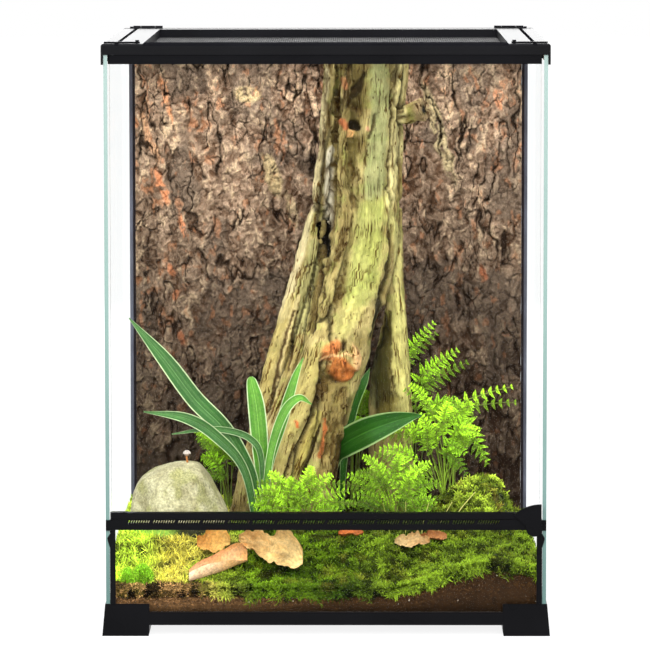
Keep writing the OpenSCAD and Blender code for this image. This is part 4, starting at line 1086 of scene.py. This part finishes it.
# The lower knot: lobes of split orange wood, pale shreds over it, and the hollows round it, dark with painted
# shade
KNOT_PLACE = (12, 252)
KNOT_MARKS = [
    ([(12, 229, 8), (8, 233, 8), (26, 236, 6)], (52, 36, 18), 0.9, -3),
    ([(2, 262, 9), (8, 268, 7)], (188, 116, 64), 0.95, 4),
    ([(12, 246, 11), (18, 240, 10)], (176, 104, 50), 0.95, 7),
    ([(29, 272, 3.5), (31, 258, 4), (30, 244, 3.5)], (214, 170, 116), 0.9, 5),
    ([(18, 274, 3), (17, 265, 2.6)], (44, 28, 14), 0.95, -6),
    ([(-8, 254, 0.9), (3, 259, 1.3), (14, 257, 0.9), (20, 261, 1.2), (28, 257, 0.9)],
     (226, 184, 128), 0.85, 1),
    ([(8, 244, 1), (10, 236, 1)], (120, 60, 26), 0.8, -1.5),
    ([(16, 252, 0.9), (20, 238, 1)], (128, 66, 30), 0.8, -1.5),
    ([(3, 268, 0.9), (10, 264, 1)], (140, 74, 40), 0.8, -1)]
# Smaller knots and scars higher up, their dark holes painted shade
SMALL_KNOTS = [
    ([(28, 502, 5), (30, 498, 4)], (16, 10, 5), 0.95, -5),
    ([(15, 505, 4), (19, 499, 4)], (176, 100, 62), 0.85, 0),
    ([(25, 494, 3.6), (25, 492, 3.4)], (244, 190, 120), 0.95, 3),
    ([(42, 497, 2), (43, 495, 1.6)], (226, 160, 126), 0.9, 1),
    ([(50, 512, 1.6), (49, 502, 2), (44, 488, 1.6)], (58, 44, 18), 0.85, -2),
    ([(15, 549, 3), (18, 542, 3)], (186, 126, 82), 0.7, 0)]


def trunk_core():
    """The strands as one closed mesh of even quads: its points and faces, in millimetres."""
    pile = Pile()
    for line in STRANDS:
        run = spline(line, 8 * len(line))
        tube(pile, run[:, :3], run[:, 3], 22, grey(0.5), 0.85)
    made = bpy.data.objects.new("core", pile.mesh("core", inside=False))
    scene.collection.objects.link(made)
    joined = made.modifiers.new("joined", "REMESH")
    joined.mode = "VOXEL"
    joined.voxel_size = 1.7 * MM
    eased = made.modifiers.new("eased", "SMOOTH")
    eased.iterations = 4
    mesh = bpy.data.meshes.new_from_object(made.evaluated_get(bpy.context.evaluated_depsgraph_get()))
    points = np.empty(3 * len(mesh.vertices))
    normals = np.empty(3 * len(mesh.vertices))
    corners = np.empty(len(mesh.loops), np.int32)
    mesh.vertices.foreach_get("co", points)
    mesh.vertex_normals.foreach_get("vector", normals)
    mesh.loops.foreach_get("vertex_index", corners)
    bpy.data.objects.remove(made)
    bpy.data.meshes.remove(mesh)
    return points.reshape(-1, 3) / MM - shift, normals.reshape(-1, 3), corners.reshape(-1, 4)


def marked(tint, relief, x, z, marks, inside, soft, grain=1.0):
    """Tints and relief with marks laid over them where inside says; soft is where a mark's edge starts and ends,
    in half widths."""
    for line, colour, strength, rise in marks:
        share = inside * (1 - step(near_line(x, z, line), *soft))
        relief = relief + rise * share
        tint = blend(tint, paint(*colour) * grain, strength * share)
    return tint, relief


def along_strands(points):
    """For each point: how far along its nearest strand it is and how far round it, the strand's number, and
    how much further in it would be in the next one, which is 0 in the creases between them."""
    best, second = np.full((2, len(points)), 1e9)
    along, turn, own = np.zeros((3, len(points)))
    for number, line in enumerate(STRANDS):
        run = spline(line, 50)
        far = np.concatenate([[0], np.cumsum(np.linalg.norm(np.diff(run[:, :3], axis=0), axis=1))])
        gaps = np.linalg.norm(points[:, None] - run[None, :, :3], axis=2)
        k = gaps.argmin(1)
        depth = gaps[np.arange(len(points)), k] - run[k, 3]
        offset = points - run[k, :3]
        closer = depth < best
        second = np.where(closer, best, np.minimum(second, depth))
        best = np.where(closer, depth, best)
        along = np.where(closer, far[k] + offset[:, 2] * -0.9, along)
        turn = np.where(closer, np.arctan2(offset[:, 1], offset[:, 0]) * run[k, 3], turn)
        own = np.where(closer, number, own)
    return along, turn, own, second - best


def wood_skin():
    """The trunk's own tints, with fibres, splits darkened with painted shade, and dark specks, that run along
    each strand.
    """
    made, tree, shader = material("trunk wood", 0.75, 0.2)
    fibre = texture(tree, 1.3, 4, (1, 6, 1), along="grain")
    cloudy = texture(tree, 9, 4, (1, 2, 1), along="grain")
    splits = texture(tree, 5, 1.5, (0.8, 9, 1), along="grain")
    closeness = maths(tree, "ABSOLUTE", maths(tree, "SUBTRACT", splits, 0.5))
    line = ramp(tree, closeness, [(0.0, grey(1.0)), (0.02, grey(0.9)), (0.045, grey(0.0))])
    place = ramp(tree, texture(tree, 14, 2, (1, 2, 1), along="grain"), [(0.46, grey(0.0)), (0.58, grey(1.0))])
    line = mix(tree, 1.0, line, place, "MULTIPLY")
    speck = texture(tree, 5.2, 0, (1, 1.8, 1), "TexVoronoi", along="grain")
    speck = ramp(tree, speck, [(0.1, grey(0.9)), (0.2, grey(0.0))])
    colour = scaled(tree, attribute(tree, "tint", "Color"), span(tree, fibre, 0.3, 0.7, 0.74, 1.12))
    colour = scaled(tree, colour, span(tree, cloudy, 0.32, 0.68, 0.78, 1.1))
    dark = mix(tree, 1.0, colour, paint(126, 100, 62), "MULTIPLY")
    # Painted shade in the splits
    colour = mix(tree, line, colour, dark)
    feed(tree, shader.inputs["Base Color"], mix(tree, speck, colour, dark))
    bump(tree, shader, mix(tree, line, fibre, grey(0.0)), 0.7, 0.6)
    return made


def trunk():
    """The twisted trunk and its roots: furrowed bark along each strand, worn places, knots and a hollow stub,
    with painted shade in its furrows, creases, grooves, hollows and lower part, and a painted highlight and
    shadow among its marks.
    """
    points, normals, quads = trunk_core()
    along, turn, own, crease = along_strands(points)
    warp = 8 * (rough(points / 9, 3, 55) - 0.5)
    x, z = points[:, 0] + warp, points[:, 2] + 2 * warp
    facing = step(normals[:, 1], 0.5, 0.2)
    furrowed = 0.15 + 0 * x
    for cx, cz, rx, rz in FURROWED:
        furrowed = np.maximum(furrowed, 1 - step(((x - cx) / rx) ** 2 + ((z - cz) / rz) ** 2, 0.5, 1.4))
    wrap = xyz(turn, along, own * 40)
    fibre = rough(wrap / [3.2, 26, 9], 4, 51)
    weave = np.abs(2 * rough((wrap + xyz(1.5 * warp, 0)) / [8, 34, 9], 3, 52) - 1)
    furrow = (1 - step(weave, 0.04, 0.26)) * furrowed
    lump = rough(points / 16, 3, 53)
    folds = 1 - step(crease, 0.4, 3.0)
    relief = 2.0 * (fibre - 0.5) - 3.6 * furrow + 4.0 * (lump - 0.5) - 2.4 * folds
    relief = relief + 0.9 * (rough(points / 3, 2, 54) - 0.5)
    tint = blend(paint(150, 132, 76), paint(198, 180, 118), np.clip(2.2 * (lump - 0.28), 0, 1))
    tint = blend(tint, paint(164, 168, 88), 0.5 * step(rough(points / 9, 3, 56), 0.54, 0.68))
    tint, relief = marked(tint, relief, x, z, TRUNK_MARKS_AND_SHADING, facing, (0.6, 1.3))
    # Painted shade: darker where furrowed, and much darker below about z 100, down among the ferns and moss
    shade = np.clip(0.62 + 0.9 * (fibre - 0.1) - 0.2 * furrowed, 0.3, 1.15)
    tint = 1.02 * tint * (shade * (0.45 + 0.55 * step(points[:, 2], 84, 122)))[:, None]
    # Painted shade in the furrows
    tint = blend(tint, paint(84, 62, 28), 0.8 * furrow)
    # Painted shade in the creases between the strands
    tint = blend(tint, paint(40, 30, 14), 0.8 * folds * (normals[:, 1] < 0.6))
    # Painted shade: the hole is sunk a little and painted near black
    gap = facing * (1 - step(near_line(x, z, HOLLOW), 0.7, 1.2))
    relief = relief - 4 * gap
    tint = blend(tint, paint(12, 8, 4), gap)
    x, z = points[:, 0] + 0.35 * warp, points[:, 2] + 0.35 * warp
    knot = facing * (1 - step(np.hypot(x - KNOT_PLACE[0], z - KNOT_PLACE[1]), 20, 26)) * (points[:, 1] < 62)
    grain = np.clip(0.5 + 1.1 * rough(points / [2.4, 4, 4], 3, 59), 0.5, 1.4)[:, None]
    for marks, inside in ((KNOT_MARKS, knot), (SMALL_KNOTS, facing)):
        tint, relief = marked(tint, relief, x, z, marks, inside, (0.75, 1.25), grain)
    off = points - STUB_END
    hollow = (points[:, 0] > STUB_HOLLOW) * (1 - step(np.hypot(off[:, 1], off[:, 2]), 3, 7))
    # Painted shade inside the stub's hollow end
    tint = blend(tint, paint(20, 14, 10), hollow)
    end = 1 - step(np.linalg.norm(off, axis=1), 12, 20)
    tint = blend(tint, paint(168, 140, 110), 0.6 * end * (hollow < 0.2))
    points = points + normals * relief[:, None]
    points[:, 2] = np.minimum(points[:, 2], box_mm("trunk")[1][2])
    pile = Pile()
    pile.add(points, tint, quads=quads)
    mesh = pile.mesh("trunk_wood")
    laid = mesh.attributes.new("grain", "FLOAT_VECTOR", "POINT")
    laid.data.foreach_set("vector", (wrap * MM).ravel())
    piece("trunk_wood", mesh, wood_skin(), ["trunk"])


trunk()

# Plants

def ribbon(pile, points, shades, fold, seed):
    """A long leaf through points (x, y, z, width) that faces the front, folded along its middle, with a shade
    for each of LEAF_COLUMNS."""
    count = 30
    run = spline(points, count)
    line, width = run[:, :3], np.maximum(run[:, 3], 0.4)
    along = unit(np.gradient(line, axis=0))
    side = unit(xyz(-along[:, 2], 0.25 * along[:, 0], along[:, 0]))
    face = unit(np.cross(side, along))
    u = np.array(LEAF_COLUMNS)
    wave = rough(xyz(np.arange(count) / 3.2, seed * 1.7), 2, seed) - 0.5
    across = side[:, None] * (u[None, :, None] * width[:, None, None] / 2)
    lift = fold * np.abs(u)[None, :] * width[:, None] / 2 + 2.2 * wave[:, None] * u[None, :]
    grid = line[:, None] + across - face[:, None] * lift[..., None]
    t = np.linspace(0, 1, count)[:, None, None]
    # Painted shade: each leaf is darker towards its base
    colours = np.array(shades)[None] * (0.62 + 0.5 * np.sqrt(t))
    pile.add(grid, colours.reshape(-1, 3), quads=grid_quads(len(u), count))


# A broad leaf's lines, from -1 to 1 across it
LEAF_COLUMNS = [-1, -0.92, -0.84, -0.5, -0.42, -0.06, 0, 0.06, 0.36, 0.46, 0.84, 0.92, 1]


def leaf_shades(dark, pale, margin):
    """Shades for LEAF_COLUMNS: pale margins, two paler stripes and a pale rib."""
    stripe = blend(dark, pale, 0.3)
    return [margin, margin, dark, dark, stripe, dark, pale, dark, stripe, dark, dark, margin, margin]


def broad_leaves():
    """Long striped leaves at the left, three dark and three bright, and two dark ones behind the trunk."""
    glossy = painted("broad leaf", 0.38, 0.5, 3, 0.15, 0.14)
    dark = leaf_shades(paint(52, 98, 42), paint(116, 158, 92), paint(190, 208, 158))
    bright = leaf_shades(paint(76, 132, 36), paint(140, 184, 84), paint(196, 212, 164))
    pile = Pile()
    for seed, points in enumerate([
            [(-72, -44, 76, 7), (-77, -45, 130, 12), (-91, -47, 163, 16), (-110, -50, 192, 18),
             (-138, -54, 221, 19), (-169, -58, 263, 16), (-206, -61, 307, 1)],
            [(-73, -46, 76, 6), (-86, -58, 146, 9), (-116, -68, 184, 12), (-147, -78, 204, 11),
             (-190, -88, 212, 1)],
            [(-70, -44, 76, 5), (-68, -46, 150, 6), (-80, -52, 179, 7), (-117, -58, 190, 6),
             (-162, -60, 185, 1)],
            [(-70, -44, 76, 6), (-70, -43, 136, 10), (-70, -40, 166, 17), (-74, -35, 210, 18),
             (-79, -31, 236, 11), (-80, -30, 242, 3)],
            [(-68, -45, 76, 6), (-62, -44, 144, 9), (-46, -38, 200, 12), (-34, -32, 240, 8),
             (-25, -28, 262, 1)],
            [(-68, -47, 76, 5), (-60, -52, 158, 8), (-46, -48, 204, 10), (-30, -44, 221, 8),
             (-16, -40, 214, 1)]]):
        ribbon(pile, points, dark if seed < 3 else bright, 0.32, seed + 60)
    piece("striped_leaves", pile, glossy, ["broadleaf_left"])
    pile = Pile()
    right = leaf_shades(paint(30, 76, 16), paint(66, 116, 40), paint(142, 170, 106))
    for seed, points in enumerate([
            [(8, 60, 76, 4), (5, 60, 120, 8), (6, 54, 147, 20), (18, 42, 162, 29), (42, 18, 178, 31),
             (68, 2, 190, 23), (88, -8, 197, 10), (100, -14, 199, 1)],
            [(14, 62, 76, 4), (18, 58, 150, 8), (27, 54, 200, 12), (38, 50, 226, 9), (45, 48, 242, 1)]]):
        ribbon(pile, points, right, 0.25, seed + 70)
    piece("dark_leaves", pile, glossy, ["broadleaf_right"])


FERN_DEEP = paint(28, 100, 4)
FERN_BRIGHT = paint(186, 246, 50)
# Each fern: its crown (x, y), and its fronds as their bend (x, z), tip (x, z), width and shade from 0 to 1
FERNS = {
    "fern_back_right": (92, 132, [
        (80, 236, 115, 282, 22, 0.75), (98, 216, 141, 252, 27, 0.7), (112, 190, 146, 196, 24, 0.4),
        (84, 190, 70, 214, 20, 0.35)]),
    "fern_right": (128, 30, [
        (138, 202, 197, 223, 17, 1.0), (146, 186, 170, 146, 24, 0.6), (134, 176, 160, 178, 22, 0.85),
        (100, 176, 62, 179, 22, 0.85), (108, 204, 88, 227, 11, 0.95), (88, 150, 56, 158, 22, 0.75),
        (122, 184, 128, 210, 20, 1.0), (138, 184, 154, 206, 19, 1.0), (112, 168, 98, 196, 20, 0.9),
        (128, 162, 146, 156, 24, 0.45), (96, 128, 66, 132, 22, 0.5)]),
    "fern_middle": (72, -34, [
        (56, 142, 38, 160, 15, 0.8), (60, 122, 46, 131, 14, 0.6), (72, 138, 77, 158, 15, 0.85),
        (88, 136, 108, 150, 15, 0.9), (94, 122, 119, 127, 15, 0.65), (44, 128, 22, 139, 14, 0.7),
        (76, 116, 96, 112, 15, 0.5), (60, 104, 40, 108, 15, 0.45), (82, 112, 66, 134, 14, 0.75),
        (62, 132, 56, 150, 13, 0.7), (82, 128, 92, 142, 13, 0.95), (52, 112, 28, 120, 14, 0.55),
        (86, 104, 106, 102, 14, 0.4), (68, 108, 58, 118, 13, 0.9), (98, 112, 114, 108, 13, 0.7)]),
    "fern_front": (-32, -62, [
        (-52, 124, -74, 126, 14, 0.9), (-48, 132, -60, 144, 14, 0.95), (-36, 126, -40, 139, 14, 0.95),
        (-22, 132, -16, 149, 15, 1.0), (-12, 128, 5, 140, 14, 0.9), (-4, 116, 22, 126, 14, 0.8),
        (-30, 112, -24, 122, 14, 0.7), (-52, 108, -74, 108, 14, 0.7), (-10, 106, 14, 106, 14, 0.6),
        (-40, 106, -52, 114, 14, 0.75), (-28, 124, -30, 134, 12, 0.8), (-44, 116, -62, 120, 12, 1.0),
        (-18, 116, -6, 118, 13, 0.95), (-34, 102, -34, 108, 14, 0.5), (-60, 104, -82, 114, 13, 0.85),
        (0, 106, 26, 112, 13, 0.6)]),
    "fern_left": (-112, 116, [
        (-124, 156, -143, 166, 19, 0.45), (-118, 144, -130, 156, 19, 0.35),
        (-120, 132, -136, 140, 20, 0.4), (-104, 136, -97, 150, 18, 0.35), (-110, 150, -116, 166, 18, 0.4)]),
    "fern_behind": (30, 126, [
        (28, 190, 26, 212, 18, 0.55), (36, 188, 43, 208, 18, 0.5), (32, 166, 34, 182, 20, 0.4),
        (24, 160, 16, 176, 20, 0.35)]),
}


def leaflets(pile, seeds, roots, ways, faces, size, tints):
    """Small pointed leaflets, each four corners, from roots along ways."""
    many = len(roots)
    across = unit(np.cross(ways, faces)) * size * 0.3
    tilt = faces * size * seeds.uniform(-0.15, 0.3, (many, 1))
    middle = roots + ways * size * 0.45 + tilt * 0.5
    corners = np.stack([roots, middle - across, middle + across, roots + ways * size + tilt], 1)
    # Painted light and shade: each leaflet is darker at its root and bright at its tip
    light = seeds.uniform(0.6, 1.4, (many, 1, 1)) * np.array([0.5, 0.95, 0.95, 1.3])[None, :, None]
    pile.copies(corners, tints[:, None] * light, [[0, 1, 2], [1, 3, 2]])


# Points along a frond's stem, and leaflets along each of its side stems before the last
STEM_POINTS = 48
SIDE_LEAFLETS = 6


def frond(pile, seeds, crown, bend, tip, width, tint):
    """A feathery frond from its crown to its tip, with pairs of side stems set with small leaflets."""
    crown, bend, tip = (np.array(p, float) for p in (crown, bend, tip))
    rising = crown * 0.45 + bend * 0.55 + [0, 6, 6]
    falling = (bend + tip) / 2 + [0, 0, 3]
    stem = spline([crown, rising, bend, falling, tip], STEM_POINTS)
    tube(pile, stem, np.linspace(0.7, 0.25, STEM_POINTS), 6, blend(tint * 0.5, paint(120, 120, 60), 0.4))
    along = unit(np.gradient(stem, axis=0))
    face = unit(np.array([[0.1, -0.95, 0.3]]) + 0.16 * seeds.normal(size=3))
    length = np.linalg.norm(np.diff(stem, axis=0), axis=1).sum()
    pairs = max(6, round(0.82 * math.sqrt(length)))
    t = np.linspace(0.4, 0.985, pairs)
    at = t * (STEM_POINTS - 1)
    low = at.astype(int)
    share = (at - low)[:, None]
    root = stem[low] * (1 - share) + stem[low + 1] * share
    way = along[low]
    faces = np.repeat(face, pairs, 0)
    out = unit(np.cross(way, faces))
    full = width * 0.56 * np.clip((1 - t) / 0.5, 0, 1) ** 0.75 * step(t, 0.34, 0.5) + 1.8
    for side in (-1, 1):
        arm = unit(side * out + 0.5 * way + 0.06 * seeds.normal(size=(pairs, 3)))
        turn = unit(np.cross(arm, faces))
        for k in range(SIDE_LEAFLETS + 1):
            s = (k + 0.35) / (SIDE_LEAFLETS + 1)
            here = root + arm * (full * s)[:, None] - xyz(0, 0, full * 0.14 * s * s)
            size = np.maximum(full * (1 - s) * 0.22 + 0.7, 0.8)[:, None]
            # Painted shade: leaflets are darker near the frond's stem and lighter out along the side stems
            shade = np.repeat(tint[None] * (0.6 + 0.75 * s), pairs, 0)
            if k == SIDE_LEAFLETS:
                leaflets(pile, seeds, here, arm, faces, size * 1.9, shade)
                continue
            for way_out in (-1, 1):
                leaflets(pile, seeds, here, unit(0.8 * arm + way_out * turn), faces, size * 1.25, shade)


def ferns():
    """Each fern's fronds, every one with a second, lower one in front that is darker with painted shade."""
    leafy = painted("fern", 0.5, 0.3, 4, 0.1, 0.1)
    for number, (node, (x, y, fronds)) in enumerate(FERNS.items()):
        seeds = np.random.default_rng(100 + number)
        base = float(ground(x, y)) - 2
        pile = Pile()
        for bend_x, bend_z, tip_x, tip_z, width, shade in fronds:
            light = 0.2 + 0.74 * shade if y < 0 else 1.05
            tint = blend(FERN_DEEP, FERN_BRIGHT, 0.2 + 0.8 * shade) * light
            deep = seeds.uniform(-6, 34)
            for again in range(2):
                off = seeds.normal(size=4) * again
                crown = (x + seeds.uniform(-7, 7), y + seeds.uniform(-5, 5), base)
                bend = (bend_x + 5 * off[0], y - 8 - 6 * again + deep / 2,
                        max(bend_z + 3 * off[1] - 7 * again, base + 12))
                tip = (tip_x + 8 * off[2], y - 16 - 4 * again + deep,
                       max(tip_z + 5 * off[3] - 11 * again, base + 14))
                # The second frond is darker, as painted shade
                frond(pile, seeds, crown, bend, tip, width * (1 - 0.12 * again), tint * (1 - 0.6 * again))
        piece(node.replace("fern_", "fronds_"), pile, leafy, [node])


def stems():
    """Dry grass stems in front of the ferns, and three bits of twig at the front left."""
    pile = Pile()
    for i in range(5):
        x, y = 66 + 16 * i, -84 + 9 * math.sin(math.radians(i * 90))
        z = float(ground(x, y))
        line = [(x, y, z - 2), (x + (i - 1) * 2.5, y, z + 16), (x + (i - 1) * 8, y, z + 36)]
        tube(pile, spline(line, 12), np.linspace(0.75, 0.35, 12), 6,
             blend(paint(140, 150, 60), paint(196, 190, 112), i / 4))
    piece("straws", pile, painted("straw", 0.6, 0.3, 3, 0.1, 0.15), ["grass_stems"])
    pile = Pile()
    for i in range(3):
        line = []
        for m in range(4):
            x, y = 48 - ground_side + 22 * i + 11 * m, ground_front + 9 + 3 * i + 1.5 * m
            line.append((x, y, float(ground(x, y)) + 1.0 + 0.6 * (m % 2)))
        tube(pile, spline(line, 14), np.linspace(1.3, 0.7, 14), 8, paint(226, 176, 128))
    piece("twig_bits", pile, painted("twig", 0.8, 0.2, 1.5, 0.3), ["twigs"])


# Dry leaves: node, piece, start x and y, length, width, lean towards the back, lift of the far edge in degrees,
# roll, first and last colour, and how crumpled it is in millimetres
DRY_LEAVES = [
    ("dry_leaf_curled", "leaf_rolled", -139, -203, 58, 48, 44, 10, 2.5, (248, 210, 170), (232, 176, 110), 1.0),
    ("dry_leaf_upper", "leaf_upper", -133, -144, 34, 32, 4, 38, 1.0, (206, 148, 76), (218, 174, 98), 3.0),
    ("dry_leaf_crumpled", "leaf_crumpled", -90, -144, 66, 46, -36, 36, 0.8,
     (202, 164, 106), (222, 192, 130), 8.0),
    ("dry_leaf_small", "leaf_small", 70, -134, 36, 20, -2, 34, 0.9, (206, 182, 132), (184, 142, 90), 3.0),
    ("dry_leaf_orange", "leaf_orange", 12, -100, 26, 18, 6, 20, 0.9, (186, 104, 52), (150, 84, 44), 2.0),
    ("dry_leaf_dark", "leaf_dark", 96, -124, 28, 18, 4, 24, 1.0, (140, 86, 46), (172, 120, 74), 2.5)]


# A leaf rolled tighter than this has a plain outline, and one crumpled more than this is widest near its tip
ROLLED = 1.5
CRUSHED = 5
# Points of a leaf's grid, across and along it
LEAF_ACROSS, LEAF_ALONG = 27, 44


def dry_leaves():
    """Fallen leaves, each a sheet rolled across, lifted at its far edge and crumpled."""
    papery = painted("dry leaf", 0.7, 0.25, 2.5, 0.3, 0.22)
    for number, leaf in enumerate(DRY_LEAVES):
        node, name, x, y, length, width, lean, lift_by, roll, one, other, crumple = leaf
        u, t = flat_grid(-1, 1, LEAF_ACROSS, 0, 1, LEAF_ALONG)
        spots = xyz(3 * t, 1.6 * u, number * 5.0)
        lobes = rough(xyz(9 * t, np.sign(u), number * 3.0), 3, 81)
        notches = np.abs(np.sin(np.pi * (2.6 * t + 0.35 * np.sign(u) + 0.2 * number))) ** 0.7
        outline = np.clip(np.sin(np.pi * (0.04 + 0.92 * t)), 0, 1)
        if roll > ROLLED:
            wide = width / 2 * outline ** 0.25 * (0.94 + 0.1 * lobes)
        else:
            wide = width / 2 * outline ** 0.6 * (0.36 + 0.22 * notches + 0.8 * lobes)
        if crumple > CRUSHED:
            wide = wide * (0.6 + 0.7 * t)
        centre_x, centre_y = x + t * length, y + lean * t
        slope = np.arctan((ground(centre_x, centre_y + 8) - ground(centre_x, centre_y - 8)) / 16)
        tilt = slope + math.radians(lift_by)
        curl = roll * (1 - 0.6 * t ** 3)
        across, lift = wide * np.sin(curl * u) / curl, wide * (1 - np.cos(curl * u)) / curl
        creases = (rough(spots * 1.4, 3, 82) - 0.35) * (0.4 + np.abs(u)) + 0.9 * (rough(spots * 3.1, 2, 84) - 0.5)
        ripples = 0.7 * np.abs(u) ** 3 + 0.5 * np.sin(7 * t + number) * np.sin(np.pi * t)
        lift = lift + crumple * (creases + ripples) + 1.5
        raised = width / 2 * math.sin(math.radians(lift_by))
        points = xyz(centre_x, centre_y + across * np.cos(tilt) - lift * np.sin(tilt),
                     ground(centre_x, centre_y) + across * np.sin(tilt) + lift * np.cos(tilt) + raised)
        tint = blend(paint(*one), paint(*other), np.clip(t + 0.7 * (rough(spots * 2, 3, 83) - 0.5), 0, 1))
        vein = np.minimum(np.abs(u) * 4, np.abs((t * 7 + np.abs(u) * 1.6) % 1 - 0.5) * 5)
        # Painted light and shade of the folds, stronger the more crumpled the leaf
        folds = 1 + 0.09 * crumple * (rough(spots * 2.6, 3, 85) - 0.5)
        tint = tint * (np.clip(0.9 + 0.12 * vein, 0.88, 1.02) * folds)[:, None]
        pile = Pile()
        pile.add(points, tint, quads=grid_quads(LEAF_ACROSS, LEAF_ALONG))
        piece(name, pile, papery, [node])


broad_leaves()
ferns()
stems()
dry_leaves()
